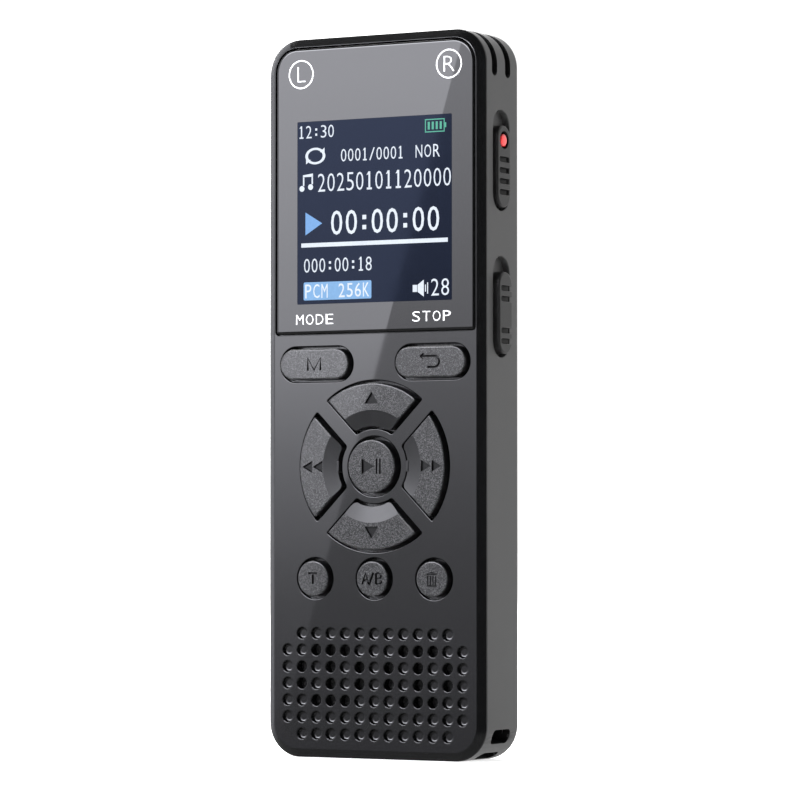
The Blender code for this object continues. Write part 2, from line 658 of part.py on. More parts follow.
def usb_bar(width, height, low, high):
    """A bar with round ends that runs up the Z axis at the USB socket's place."""
    outline = stadium(width, height, USB_X, USB_DEPTH, 5)
    return stack([[(x, y_at(depth), z) for x, depth in outline] for z in (low, high)])


def make_sockets():
    jack_half = 3.0 * MM
    low = (JACK_X - jack_half, BOARD_BACK + 0.2 * MM, 90.2 * MM)
    high = (JACK_X + jack_half, 9.2 * MM, 102.1 * MM)
    jack = place("headphone_jack", block(low, high, 0.2 * MM), CHIP)
    nose_foot, nose_top = (JACK_X, JACK_DEPTH, 101.0 * MM), (JACK_X, JACK_DEPTH, 103.4 * MM)
    join(jack, rod(nose_foot, nose_top, 2.8 * MM))
    bore_foot, above = (JACK_X, JACK_DEPTH, 92.0 * MM), (JACK_X, JACK_DEPTH, 105.0 * MM)
    cut(jack, rod(bore_foot, above, JACK_BORE))

    foot, mouth, wall = 95.6 * MM, 103.3 * MM, 0.3 * MM
    socket = place("usb_socket", usb_bar(USB_WIDTH, USB_HEIGHT, foot, mouth), STEEL)
    inner_width, inner_height = USB_WIDTH - 2 * wall, USB_HEIGHT - 2 * wall
    cut(socket, usb_bar(inner_width, inner_height, foot + 1.2 * MM, mouth + WALL))
    tongue_low = (USB_X - 3.3 * MM, USB_DEPTH - 0.35 * MM, foot + WALL / 2)
    tongue_high = (USB_X + 3.3 * MM, USB_DEPTH + 0.35 * MM, mouth - 0.8 * MM)
    join(socket, block(tongue_low, tongue_high))


def make_microphones():
    depth = sum(MIC_SLOT_DEPTHS) / 2
    slant = math.sqrt(0.5)
    for name, side in (("left", -1), ("right", 1)):
        centre_x, centre_z = corner_centre(side, top=True)

        def along(distance):
            return (centre_x + side * slant * distance, depth, centre_z + slant * distance)

        boot = rod(along(-1.2 * MM), along(1.6 * MM), 2.8 * MM)
        boot_object = place(f"mic_boot_{name}", boot, RUBBER)
        cut(boot_object, rod(along(-0.7 * MM), along(3.0 * MM), 2.2 * MM))
        place(f"microphone_{name}", rod(along(-0.5 * MM), along(1.3 * MM), 1.95 * MM), STEEL)


def make_speaker():
    z, width, height = SPEAKER_Z, SPEAKER_WIDTH, SPEAKER_HEIGHT
    rim = 0.8 * MM
    inner = stadium(width - 2 * rim, height - 2 * rim, 0.0, z)
    outer = stadium(width, height, 0.0, z)
    gasket = place("speaker_gasket", prism(outer, 1.42 * MM, 1.75 * MM), FOAM)
    cut(gasket, prism(inner, 0.0, 3.0 * MM))
    cloth = stadium(width - 2 * rim - 0.4 * MM, height - 2 * rim - 0.4 * MM, 0.0, z)
    place("grille_cloth", prism(cloth, 1.45 * MM, 1.6 * MM), CLOTH)

    front, back = 1.9 * MM, 5.2 * MM
    frame = place("speaker_frame", prism(outer, front, back), STEEL)
    bowl = stadium(width - 2 * rim, height - 2 * rim, 0.0, z)
    cut(frame, prism(bowl, 0.0, 3.6 * MM))
    outlines = [
        stadium(width - 2 * inset, height - 2 * inset, 0.0, z)
        for inset in (rim + 0.25 * MM, rim + 1.25 * MM, rim + 2.75 * MM)
    ]
    edge, roll, middle = outlines
    rings = (
        (middle, 3.3 * MM),
        (edge, 2.5 * MM),
        (edge, 2.2 * MM),
        (roll, 2.0 * MM),
        (middle, 2.8 * MM),
    )
    place("speaker_cone", loft(rings), CONE)


def make_battery():
    low, high = (-14.5 * MM, 4.4 * MM, 26.5 * MM), (7.5 * MM, 8.8 * MM, 70.5 * MM)
    place("battery", block(low, high, 0.6 * MM), FOIL)
    low, high = (-11.0 * MM, 9.0 * MM, 32.0 * MM), (4.0 * MM, 9.6 * MM, 65.0 * MM)
    place("battery_pad", block(low, high), FOAM)


def make_lead(name, start, bow, end, material):
    """An insulated wire along a quadratic curve through (x, depth, z) points in millimetres."""
    start, bow, end = (Vector((x * MM, y_at(d * MM), z * MM)) for x, d, z in (start, bow, end))
    curve = bpy.data.curves.new(name, "CURVE")
    curve.dimensions = "3D"
    curve.bevel_depth = 0.35 * MM
    curve.bevel_resolution = 2
    curve.use_fill_caps = True
    steps = 8
    spline = curve.splines.new("POLY")
    spline.points.add(steps)
    for step, point in enumerate(spline.points):
        t = step / steps
        spot = start * (1 - t) ** 2 + bow * (2 * t * (1 - t)) + end * t**2
        point.co = (*spot, 1.0)
    curve.materials.append(material)
    bpy.context.scene.collection.objects.link(bpy.data.objects.new(name, curve))


def make_leads():
    for name, x, material in (("red", -11.0, RED_WIRE), ("black", -9.0, BLACK_WIRE)):
        make_lead(f"battery_lead_{name}", (x, 6.6, 70.8), (x, 6.4, 73.6), (x, 4.3, 73.6), material)
    for name, x, material in (("red", -2.0, RED_WIRE), ("black", 2.0, BLACK_WIRE)):
        make_lead(f"speaker_lead_{name}", (x, 5.5, 14.0), (x, 8.0, 22.0), (x, 4.3, 24.6), material)


def make_screws():
    head_front, head_back = CASE_DEPTH - 1.35 * MM, CASE_DEPTH - 0.35 * MM
    for number, (x, z) in enumerate(SCREW_PLACES, 1):
        x, z = x * MM, z * MM
        sides = 14
        shank, head = circle(SHANK_RADIUS, x, z, sides), circle(HEAD_RADIUS, x, z, sides)
        edge = circle(HEAD_RADIUS - 0.2 * MM, x, z, sides)
        rings = (
            (shank, 3.2 * MM),
            (shank, head_front),
            (head, head_front),
            (head, head_back - 0.2 * MM),
            (edge, head_back),
        )
        screw = place(f"case_screw_{number}", loft(rings), STEEL)
        arm, wing = 0.85 * MM, 0.18 * MM
        far = head_back + WALL
        cut(screw, block((x - arm, head_back - 0.5 * MM, z - wing), (x + arm, far, z + wing)))
        cut(screw, block((x - wing, head_back - 0.55 * MM, z - arm), (x + wing, far, z + arm)))


def main():
    clear_scene()
    make_front_cover()
    make_rear_shell()
    make_display()
    key_places = make_keys()
    make_sliders()
    make_board(key_places)
    make_sockets()
    make_microphones()
    make_speaker()
    make_battery()
    make_leads()
    make_screws()


main()
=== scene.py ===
# %% [markdown]
# # A handheld voice recorder
#
# The recorder is a slim plastic case in two halves. Its front carries a display behind a
# glossy lens, ten keys that stand out of close-fitting holes, and a speaker grille; two
# sliders run in pockets in its right side.
#
# The working solids already exist as a fixed frame. This lesson remakes the visible pieces
# with rounded rims, engraved keys and real finishes, and gives every inner piece a surface.

# %% Load the frame
import math

import bmesh
import bpy
from mathutils import Matrix, Vector


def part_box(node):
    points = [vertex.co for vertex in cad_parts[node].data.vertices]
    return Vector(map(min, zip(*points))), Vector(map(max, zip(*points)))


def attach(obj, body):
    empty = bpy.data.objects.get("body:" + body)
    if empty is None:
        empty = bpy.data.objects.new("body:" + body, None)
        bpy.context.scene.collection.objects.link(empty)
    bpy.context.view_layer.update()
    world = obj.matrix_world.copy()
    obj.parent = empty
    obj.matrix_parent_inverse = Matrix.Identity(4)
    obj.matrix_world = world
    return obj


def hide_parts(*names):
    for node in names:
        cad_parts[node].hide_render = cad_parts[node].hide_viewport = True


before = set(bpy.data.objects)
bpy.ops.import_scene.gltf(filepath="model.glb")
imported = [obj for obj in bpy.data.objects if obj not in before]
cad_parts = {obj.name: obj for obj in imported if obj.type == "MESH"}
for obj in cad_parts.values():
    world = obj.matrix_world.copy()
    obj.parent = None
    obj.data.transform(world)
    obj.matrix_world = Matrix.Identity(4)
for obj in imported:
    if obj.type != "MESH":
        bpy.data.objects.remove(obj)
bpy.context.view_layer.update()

MM = 0.001
WELD = 0.0005
shell_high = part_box("rear_shell")[1]
HALF_WIDTH = shell_high.x / MM
HEIGHT = shell_high.z / MM
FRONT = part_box("front_cover")[0].y
CASE_DEPTH = (shell_high.y - FRONT) / MM
print(f"case {2 * HALF_WIDTH:.1f} x {CASE_DEPTH:.1f} x {HEIGHT:.1f} mm, {len(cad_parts)} nodes")


# %% Where things are
def at(x, depth, z):
    """A point in millimetres: across, back from the front face, and up from the foot."""
    return Vector((x * MM, FRONT + depth * MM, z * MM))


def middle_of(node):
    """(x, depth, z) of the middle of a frame node, in millimetres."""
    low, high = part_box(node)
    centre = (low + high) / 2
    return centre.x / MM, (centre.y - FRONT) / MM, centre.z / MM


PAD_CENTRE = (0.0, middle_of("key_play")[2])
print("the arrow pad is centred", round(PAD_CENTRE[1], 2), "mm up")


# %% [markdown]
# ## Flat outlines
#
# Nearly every piece here starts as one flat face with the outline of a hole, a key or the
# whole case. Such a face could be typed in point by point, but it is quicker and truer to
# let the operators draw it: a grid of one cell becomes a rounded plate when its corners are
# bevelled, a capped circle is a round key, and an edge that is spun a quarter turn sweeps
# out a quarter of the arrow pad.

# %% Plates, discs and bars
TURNS = {
    "front": Matrix.Rotation(math.radians(90), 4, "X"),
    "side": Matrix(((0, 0, 1, 0), (1, 0, 0, 0), (0, 1, 0, 0), (0, 0, 0, 1))),
    "top": Matrix.Identity(4),
}
WAYS = {
    "forward": Vector((0, -1, 0)),
    "back": Vector((0, 1, 0)),
    "right": Vector((1, 0, 0)),
    "left": Vector((-1, 0, 0)),
    "up": Vector((0, 0, 1)),
    "down": Vector((0, 0, -1)),
}


def plate(centre, width, height, corners=(0.0, 0.0), facing="front", arc=12):
    """One face about an (x, depth, z) centre; corners are the radii of its low and high pairs."""
    bm = bmesh.new()
    bmesh.ops.create_grid(bm, x_segments=1, y_segments=1, size=0.5)
    bmesh.ops.scale(bm, verts=bm.verts, vec=(width * MM, height * MM, 1))
    pairs = [[v for v in bm.verts if v.co.y < 0], [v for v in bm.verts if v.co.y > 0]]
    for pair, radius in zip(pairs, corners):
        if radius:
            round_corners(bm, pair, radius, arc)
    bmesh.ops.transform(bm, matrix=Matrix.Translation(at(*centre)) @ TURNS[facing], verts=bm.verts)
    return bm


def round_corners(bm, corners, radius, arc):
    bmesh.ops.bevel(
        bm, geom=corners, offset=radius * MM, segments=arc, profile=0.5, affect="VERTICES", material=-1
    )
    bmesh.ops.remove_doubles(bm, verts=bm.verts, dist=0.01 * MM)


def bar(centre, width, height, facing="front", arc=12):
    """A plate whose short ends are half circles."""
    end = min(width, height) / 2 * 0.9995
    return plate(centre, width, height, (end, end), facing, arc)


def disc(centre, radius, sides=48, facing="front"):
    bm = bmesh.new()
    bmesh.ops.create_circle(bm, cap_ends=True, radius=radius * MM, segments=sides)
    bmesh.ops.transform(bm, matrix=Matrix.Translation(at(*centre)) @ TURNS[facing], verts=bm.verts)
    return bm


# %% Shapes swept by a turning edge
def spoke(angle, length):
    """A vector in the front plane, length millimetres long."""
    return Vector((math.cos(angle), 0, math.sin(angle))) * length * MM


def sweep(hub, inner, outer, start, turn, steps):
    """The strip of faces that an edge sweeps as it turns about hub; angles are in degrees."""
    bm = bmesh.new()
    ends = [bm.verts.new(hub + spoke(math.radians(start), radius)) for radius in (inner, outer)]
    edge = bm.edges.new(ends)
    bmesh.ops.spin(
        bm, geom=[*ends, edge], cent=hub, axis=(0, -1, 0), dvec=(0, 0, 0), angle=math.radians(turn),
        steps=steps, use_merge=False, use_normal_flip=False, use_duplicate=False,
    )
    return bm


# %% A quarter of the arrow pad
BEND, SHARP_BEND = math.radians(1), math.radians(30)


def turn_at(vert):
    """How far an outline turns at one of its points."""
    first, second = (edge.other_vert(vert).co - vert.co for edge in vert.link_edges)
    return math.pi - first.angle(second)


def pad_quarter(turn, outer, inner, strap, depth, corner=0.3):
    """A ring quarter whose straight sides run parallel to the diagonal straps."""
    x, z = PAD_CENTRE
    hub = at(x, depth, z)
    first = math.radians(turn - 45)
    bm = sweep(hub, inner, outer, turn - 45, 90, 28)
    for side, angle in ((1, first), (-1, first + math.radians(90))):
        inward = spoke(angle + math.radians(90), side / MM)
        bmesh.ops.bisect_plane(
            bm, geom=[*bm.verts, *bm.edges, *bm.faces], dist=0, plane_co=hub + inward * strap / 2 * MM,
            plane_no=inward, clear_inner=True,
        )
    bmesh.ops.remove_doubles(bm, verts=bm.verts, dist=0.01 * MM)
    bmesh.ops.dissolve_faces(bm, faces=bm.faces, use_verts=False)
    bmesh.ops.delete(bm, geom=[vert for vert in bm.verts if not vert.link_faces], context="VERTS")
    straight = [vert for vert in bm.verts if turn_at(vert) < BEND]
    bmesh.ops.dissolve_verts(bm, verts=straight)
    sharp = [vert for vert in bm.verts if turn_at(vert) > SHARP_BEND]
    room = 1.4 * corner * MM
    crowding = [
        vert for vert in bm.verts
        if vert not in sharp and min((vert.co - tip.co).length for tip in sharp) < room
    ]
    bmesh.ops.dissolve_verts(bm, verts=crowding)
    round_corners(bm, sharp, corner, 5)
    return bm


# %% [markdown]
# ## From outline to solid
#
# A moulded key or cover is an outline drawn out in steps: straight up a wall, then a little
# inward at each step over the rounded edge. One helper does this for every piece. A tool
# that cuts a hole is made the same way, except that it narrows as it goes in, which leaves
# the rim of the hole rounded. Real moulded rims always are, and they catch the light.

# %% Grow, round over and flare
def grow(bm, steps, way="forward", face=None):
    """Draws a face out through (inset, advance) steps, and returns the last face."""
    bm.faces.ensure_lookup_table()
    face = face or bm.faces[0]
    for inset, advance in steps:
        if inset:
            bmesh.ops.inset_region(
                bm, faces=[face], thickness=inset * MM, use_boundary=True, use_even_offset=True
            )
        else:
            whole = [face, *face.edges, *face.verts]
            grown = bmesh.ops.extrude_face_region(bm, geom=whole)["geom"]
            face = next(item for item in grown if isinstance(item, bmesh.types.BMFace))
        bmesh.ops.translate(bm, verts=face.verts, vec=WAYS[way] * advance * MM)
    return face


def quarter_turns(steps):
    """The angles at the two ends of each step of a quarter circle."""
    turns = [math.pi / 2 * step / steps for step in range(steps + 1)]
    return zip(turns, turns[1:])


def round_over(radius, steps=5, inset=None):
    """The steps of a convex edge: up the wall at first, then flat."""
    inset = radius if inset is None else inset
    return [
        (inset * (math.cos(a) - math.cos(b)), radius * (math.sin(b) - math.sin(a)))
        for a, b in quarter_turns(steps)
    ]


def flare(radius, steps=4):
    """The steps of a tool that leaves a rounded rim: flat at first, then down the wall."""
    return [
        (radius * (math.sin(b) - math.sin(a)), radius * (math.cos(a) - math.cos(b)))
        for a, b in quarter_turns(steps)
    ]


def prism(bm, length, way="back"):
    """Draws the outline straight out into a solid."""
    grow(bm, [(0, length)], way)
    return bm


HAIR, CLEAR = 0.004, 0.6


def hole_tool(bm, rim, depth, clear=CLEAR, way="back", steps=4):
    """A cutter that starts clear of the surface and leaves a rim of that radius."""
    grow(bm, [(0, clear - HAIR), *flare(rim, steps), (0, depth - rim + HAIR)], way)
    return bm


# %% [markdown]
# ## Cuts, joins and finishes
#
# A hole could be modelled face by face, but a Boolean modifier is quicker: the tool is cut
# away from the piece, or joined to it, and the result is baked into the mesh. The faces that
# a tool leaves can take a finish of their own, by a material number.

# %% Objects, cuts and joins
def piece(name, bm):
    """A finished bmesh as an object, with its faces turned outwards."""
    bmesh.ops.remove_doubles(bm, verts=bm.verts, dist=WELD * MM)
    bmesh.ops.recalc_face_normals(bm, faces=bm.faces)
    mesh = bpy.data.meshes.new(name)
    bm.to_mesh(mesh)
    bm.free()
    obj = bpy.data.objects.new(name, mesh)
    bpy.context.scene.collection.objects.link(obj)
    return obj


def bake(obj):
    """Applies the object's modifiers to its mesh."""
    bpy.context.view_layer.update()
    graph = bpy.context.evaluated_depsgraph_get()
    mesh = bpy.data.meshes.new_from_object(obj.evaluated_get(graph))
    obj.modifiers.clear()
    old, obj.data = obj.data, mesh
    bpy.data.meshes.remove(old)
    mesh.name = obj.name


def gather(parts):
    """Several bmeshes that don't touch, as one."""
    whole = bmesh.new()
    for part in parts:
        bmesh.ops.remove_doubles(part, verts=part.verts, dist=WELD * MM)
        bmesh.ops.recalc_face_normals(part, faces=part.faces)
        mesh = bpy.data.meshes.new("part")
        part.to_mesh(mesh)
        part.free()
        whole.from_mesh(mesh)
        bpy.data.meshes.remove(mesh)
    return whole


def combine(obj, bm, operation="DIFFERENCE", solver="MANIFOLD", mark=0):
    """Cuts the tool away or joins it on; the new faces take material number mark."""
    for face in bm.faces:
        face.material_index = mark
    tool = piece("tool", bm)
    for number in range(mark + 1):
        tool.data.materials.append(None)
        if len(obj.data.materials) <= number:
            obj.data.materials.append(None)
    before = len(obj.data.polygons)
    modifier = obj.modifiers.new("combine", "BOOLEAN")
    modifier.operation = operation
    modifier.solver = solver
    modifier.object = tool
    bake(obj)
    tool_mesh = tool.data
    bpy.data.objects.remove(tool)
    bpy.data.meshes.remove(tool_mesh)
    if len(obj.data.polygons) == before:
        print("note:", obj.name, "kept its face count after", operation.lower())


def sharpen_borders(mesh):
    """Keeps the shading crisp where two finishes meet, and round a flat front."""
    bm = bmesh.new()
    bm.from_mesh(mesh)
    for edge in bm.edges:
        finishes = {face.material_index for face in edge.link_faces}
        fronts = {-face.normal.y > 0.99999 for face in edge.link_faces}
        if len(finishes) > 1 or len(fronts) > 1:
            edge.smooth = False
    bm.to_mesh(mesh)
    bm.free()


# %% Settle a piece
FLAT_PULL = 90


def settle(obj, body, materials, nodes=(), angle=38):
    """Gives the piece its finish, smooths what is round, and lets it ride on its body."""
    mesh = obj.data
    for number, material in enumerate(materials):
        if number < len(mesh.materials):
            mesh.materials[number] = material
        else:
            mesh.materials.append(material)
    mesh.shade_smooth()
    mesh.set_sharp_from_angle(angle=math.radians(angle))
    sharpen_borders(mesh)
    weighted = obj.modifiers.new("even_shading", "WEIGHTED_NORMAL")
    weighted.keep_sharp = True
    weighted.weight = FLAT_PULL
    bake(obj)
    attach(obj, body)
    if nodes:
        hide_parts(*nodes)
    print(f"{obj.name}: {len(obj.data.polygons)} faces")
    return obj


# %% [markdown]
# ## Camera
#
# The recorder stands upright and is seen a little from its right side with a long lens, from
# a point just below its middle, so that its upright edges stay almost parallel.

# %% Set up the camera
CAMERA_PLACE = Vector((0.29196, -0.50679, 0.0323))
CAMERA_TARGET = Vector((0.00426, -0.0055, 0.0511))
camera_data = bpy.data.cameras.new("camera")
camera_data.lens = 183.09
camera_data.sensor_width = 36
camera_data.clip_start = 0.01
camera = bpy.data.objects.new("camera", camera_data)
camera.location = CAMERA_PLACE
camera.rotation_euler = (CAMERA_TARGET - CAMERA_PLACE).to_track_quat("-Z", "Y").to_euler()
camera.data.dof.use_dof = False
bpy.context.scene.collection.objects.link(camera)
bpy.context.scene.camera = camera
bpy.context.scene.view_settings.view_transform = "Standard"
print("camera", round((CAMERA_TARGET - CAMERA_PLACE).length, 3), "m away")


# %% [markdown]
# ## Studio
#
# A dark glossy object shows little of its own colour: what is seen is the studio mirrored in
# it. So the light is built as a product photographer would build it. A pale surround behind
# the recorder lights its sides. Large glowing cards stand where the front face mirrors them:
# one fades from bright above to dark below, and a second, just in front of it, stops at a
# slanting edge, which draws the crisp diagonal sheen across the lens and the keys. Both are
# brightest at the very top, which only the lower rims of the holes mirror. A dim card at the
# left, and two bright ones behind and above, shine mainly on the rounded edges.

# %% The surround
def ramp(nodes, links, value, stops):
    """A colour ramp; each stop is a position with a grey or a colour."""
    node = nodes.new("ShaderNodeValToRGB")
    elements = node.color_ramp.elements
    elements.remove(elements[1])
    for number, (position, tone) in enumerate(sorted(stops)):
        element = elements.new(position) if number else elements[0]
        element.position = position
        element.color = (tone, tone, tone, 1) if isinstance(tone, float) else (*tone, 1)
    links.new(value, node.inputs["Fac"])
    return node.outputs["Color"]


def between(nodes, links, value, low, high, onto=(0.0, 1.0), kind="LINEAR"):
    """Maps a value to the first of onto at low, and to the second at high."""
    node = nodes.new("ShaderNodeMapRange")
    node.interpolation_type = kind
    node.inputs["From Min"].default_value = low
    node.inputs["From Max"].default_value = high
    node.inputs["To Min"].default_value, node.inputs["To Max"].default_value = onto
    links.new(value, node.inputs["Value"])
    return node.outputs["Result"]


def place_in(nodes):
    """The object's own coordinates, in metres."""
    return nodes.new("ShaderNodeTexCoord").outputs["Object"]


def axes_of(nodes, links, vector):
    """The three parts of a vector, by the names X, Y and Z."""
    node = nodes.new("ShaderNodeSeparateXYZ")
    links.new(vector, node.inputs["Vector"])
    return node.outputs


def sums(nodes, links, operation, first, second):
    """One step of arithmetic; each value is a number or a socket."""
    node = nodes.new("ShaderNodeMath")
    node.operation = operation
    for socket, value in zip(node.inputs, (first, second)):
        if isinstance(value, float):
            socket.default_value = value
        else:
            links.new(value, socket)
    return node.outputs["Value"]


SURROUND_FRONT = 0.05
SURROUND_REAR = 1.12
SURROUND_BELOW = 0.3
BACKDROP = 1.05
REAR_SPAN, BELOW_SPAN = (-0.1, 0.35), (-0.12, -0.4)
world = bpy.data.worlds.new("studio")
world.use_nodes = True
bpy.context.scene.world = world
nodes, links = world.node_tree.nodes, world.node_tree.links
background = nodes["Background"]
direction = axes_of(nodes, links, nodes.new("ShaderNodeTexCoord").outputs["Generated"])
rear = between(nodes, links, direction["Y"], *REAR_SPAN, kind="SMOOTHSTEP")
below = between(nodes, links, direction["Z"], *BELOW_SPAN, kind="SMOOTHSTEP")
glow = sums(nodes, links, "MULTIPLY_ADD", rear, SURROUND_REAR - SURROUND_FRONT)
glow.node.inputs[2].default_value = SURROUND_FRONT
glow = sums(nodes, links, "MAXIMUM", glow, sums(nodes, links, "MULTIPLY", below, SURROUND_BELOW))
seen = nodes.new("ShaderNodeLightPath").outputs["Is Camera Ray"]
glow = sums(nodes, links, "MAXIMUM", glow, sums(nodes, links, "MULTIPLY", seen, BACKDROP))
links.new(glow, background.inputs["Strength"])
background.inputs["Color"].default_value = (1, 1, 1, 1)
print("surround glows from", SURROUND_FRONT, "in front to", SURROUND_REAR, "behind")


# %% Glowing cards
CARD_TINT = (0.985, 0.99, 1.07)


def glowing(name, strength, stops=None, low=0.0, high=1.0):
    """A light-giving material; stops give its brightness at heights from low to high."""
    made = bpy.data.materials.new(name)
    made.use_nodes = True
    nodes, links = made.node_tree.nodes, made.node_tree.links
    nodes.clear()
    emission = nodes.new("ShaderNodeEmission")
    emission.inputs["Strength"].default_value = strength
    output = nodes.new("ShaderNodeOutputMaterial")
    links.new(emission.outputs["Emission"], output.inputs["Surface"])
    if stops:
        height = axes_of(nodes, links, place_in(nodes))["Z"]
        scaled = between(nodes, links, height, low, high)
        shares = [
            ((place - low) / (high - low), tuple(glow / strength * part for part in CARD_TINT))
            for place, glow in stops
        ]
        links.new(ramp(nodes, links, scaled, shares), emission.inputs["Color"])
    return made


def card(name, outline, material):
    """A flat card through world points in metres, seen only in reflections and as light."""
    bm = bmesh.new()
    bm.faces.new([bm.verts.new(point) for point in outline])
    mesh = bpy.data.meshes.new(name)
    bm.to_mesh(mesh)
    bm.free()
    obj = bpy.data.objects.new(name, mesh)
    obj.visible_camera = False
    obj.visible_shadow = False
    mesh.materials.append(material)
    bpy.context.scene.collection.objects.link(obj)
    return obj


def upright(near, far, low, high):
    """The outline of an upright card between two (x, y) ends."""
    return [(*near, low), (*far, low), (*far, high), (*near, high)]


# %% The fading card and the sheen
CARD_Y, CARD_RIGHT = -0.6, 0.0
CARD_LOW, CARD_HIGH, CARD_LEFT = -0.1, 0.5, -0.62
FADE = (
    (-0.09, 0.45), (-0.03, 0.55), (0.01, 0.82), (0.027, 0.97), (0.045, 1.25), (0.075, 1.85),
    (0.097, 2.35), (0.137, 3.2), (0.176, 4.05), (0.25, 4.6), (0.31, 15.0), (0.5, 16.0),
)
SHEEN = (
    (-0.09, 0.45), (-0.03, 0.6), (0.01, 1.25), (0.023, 1.6), (0.038, 2.2), (0.056, 2.95),
    (0.075, 4.1), (0.092, 5.1), (0.137, 6.2), (0.176, 7.1), (0.25, 7.6), (0.31, 16.0), (0.5, 17.0),
)
fade = glowing("card_fade", 16.0, FADE, low=CARD_LOW, high=CARD_HIGH)
card("fade_card", upright((CARD_LEFT, CARD_Y), (CARD_RIGHT, CARD_Y), CARD_LOW, CARD_HIGH), fade)

sheen = glowing("card_sheen", 17.0, SHEEN, low=CARD_LOW, high=CARD_HIGH)
EDGE_HIGH, EDGE_LOW = Vector((-0.3135, 0, 0.1847)), Vector((-0.368, 0, 0.0054))
SHEEN_Y = CARD_Y + 0.002


def on_edge(z):
    """How far across the slanting edge of the sheen card is at a height."""
    share = (z - EDGE_LOW.z) / (EDGE_HIGH.z - EDGE_LOW.z)
    return EDGE_LOW.x + (EDGE_HIGH.x - EDGE_LOW.x) * share


sheen_right = [(on_edge(z), SHEEN_Y, z) for z in (CARD_LOW, CARD_HIGH)]
card("sheen_card", [(CARD_LEFT, SHEEN_Y, CARD_LOW), *sheen_right, (CARD_LEFT, SHEEN_Y, CARD_HIGH)], sheen)

# %% The cards at the left, behind and above
LEFT_LOW, LEFT_HIGH, LEFT_NEAR, LEFT_FAR = -0.2, 0.65, (-0.58, -0.5), (-0.58, 0.12)
LEFT_FADE = ((-0.15, 0.5), (0.0, 1.2), (0.1, 1.5), (0.65, 1.5))
side_glow = glowing("card_left", 2.0, LEFT_FADE, low=LEFT_LOW, high=LEFT_HIGH)
card("left_card", upright(LEFT_NEAR, LEFT_FAR, LEFT_LOW, LEFT_HIGH), side_glow)

RIM_NEAR, RIM_FAR, RIM_LOW, RIM_HIGH = (-0.75, 0.22), (-0.40, 0.62), -0.1, 0.75
card("rim_card", upright(RIM_NEAR, RIM_FAR, RIM_LOW, RIM_HIGH), glowing("rim_light", 9.0))

OVERHEAD_AIM, OVERHEAD_AWAY = Vector((-0.45, 0.35, 0.82)), 0.9
OVERHEAD_HALF_WIDTH, OVERHEAD_HALF_LENGTH = 0.33, 0.27
across = OVERHEAD_AIM.cross(WAYS["up"]).normalized() * OVERHEAD_HALF_WIDTH
along = across.cross(OVERHEAD_AIM).normalized() * OVERHEAD_HALF_LENGTH
corners = (-across - along, across - along, across + along, -across + along)
overhead_outline = [OVERHEAD_AIM * OVERHEAD_AWAY + corner for corner in corners]
card("overhead_card", overhead_outline, glowing("overhead_light", 18.0))
print("cards stand in front, at the left, behind and above")

# %% The floor
FLOOR_RADIUS, FLOOR_CENTRE, PAPER_GLOW = 6.0, 1.0, 0.75
floor_bm = bmesh.new()
bmesh.ops.create_circle(floor_bm, cap_ends=True, radius=FLOOR_RADIUS, segments=64)
bmesh.ops.inset_region(
    floor_bm, faces=floor_bm.faces[:], thickness=FLOOR_RADIUS - FLOOR_CENTRE, use_boundary=True
)
floor = piece("floor", floor_bm)
floor.visible_glossy = False
paper = bpy.data.materials.new("pale_paper")
paper.use_nodes = True
shader = paper.node_tree.nodes["Principled BSDF"]
shader.inputs["Roughness"].default_value = 1.0
shader.inputs["Specular IOR Level"].default_value = 0.0
shader.inputs["Base Color"].default_value = (0.8, 0.8, 0.8, 1)
shader.inputs["Emission Color"].default_value = (1, 1, 1, 1)
shader.inputs["Emission Strength"].default_value = PAPER_GLOW
floor.data.materials.append(paper)
print("studio ready")


# %% [markdown]
# ## Finishes
#
# A finish is more than a colour. Moulded plastic has a fine grain that softens its
# highlights, blasted keys glitter in tiny grains, and brushed metal is streaked one way.
# Each finish below mixes two close tones through a noise, varies the roughness with it and
# raises the grain as a bump. Every pattern reads the object's own coordinates, so it has
# its real size everywhere and keeps its place when the part moves.

# %% A finish with grain
NOISE_LOW, NOISE_HIGH = 0.3, 0.7
FINE_SHARE, CLOUD_SIZE = 0.6, 14


def finish(name, tones, rough, grain=0.0, size=0.25, stretch=(1, 1, 1), height=0.02, **sockets):
    """A Principled material.

    tones are two colours mixed by a cloudy noise, rough is the low and high roughness, grain
    is the strength of a bump whose features are size millimetres wide, and sockets set the
    shader's other values.
    """
    made = bpy.data.materials.new(name)
    made.use_nodes = True
    nodes, links = made.node_tree.nodes, made.node_tree.links
    shader = nodes["Principled BSDF"]
    mapping = nodes.new("ShaderNodeMapping")
    mapping.inputs["Scale"].default_value = stretch
    links.new(place_in(nodes), mapping.inputs["Vector"])
    fine = noise(nodes, links, mapping.outputs["Vector"], size, 3)
    cloudy = noise(nodes, links, mapping.outputs["Vector"], size * CLOUD_SIZE, 2)
    fine_part = sums(nodes, links, "MULTIPLY", fine, FINE_SHARE)
    cloudy_part = sums(nodes, links, "MULTIPLY", cloudy, 1 - FINE_SHARE)
    mixed = sums(nodes, links, "ADD", fine_part, cloudy_part)
    colour = ramp(nodes, links, mixed, ((NOISE_LOW, tones[0]), (NOISE_HIGH, tones[1])))
    links.new(colour, shader.inputs["Base Color"])
    roughness = between(nodes, links, mixed, NOISE_LOW, NOISE_HIGH, rough)
    links.new(roughness, shader.inputs["Roughness"])
    if grain:
        raise_grain(nodes, links, shader, fine, grain, height)
    for socket, value in sockets.items():
        shader.inputs[socket.replace("_", " ")].default_value = value
    return made


def noise(nodes, links, vector, size, detail):
    """Noise whose features are size millimetres wide."""
    node = nodes.new("ShaderNodeTexNoise")
    node.inputs["Scale"].default_value = 1 / (size * MM)
    node.inputs["Detail"].default_value = detail
    links.new(vector, node.inputs["Vector"])
    return node.outputs["Fac"]


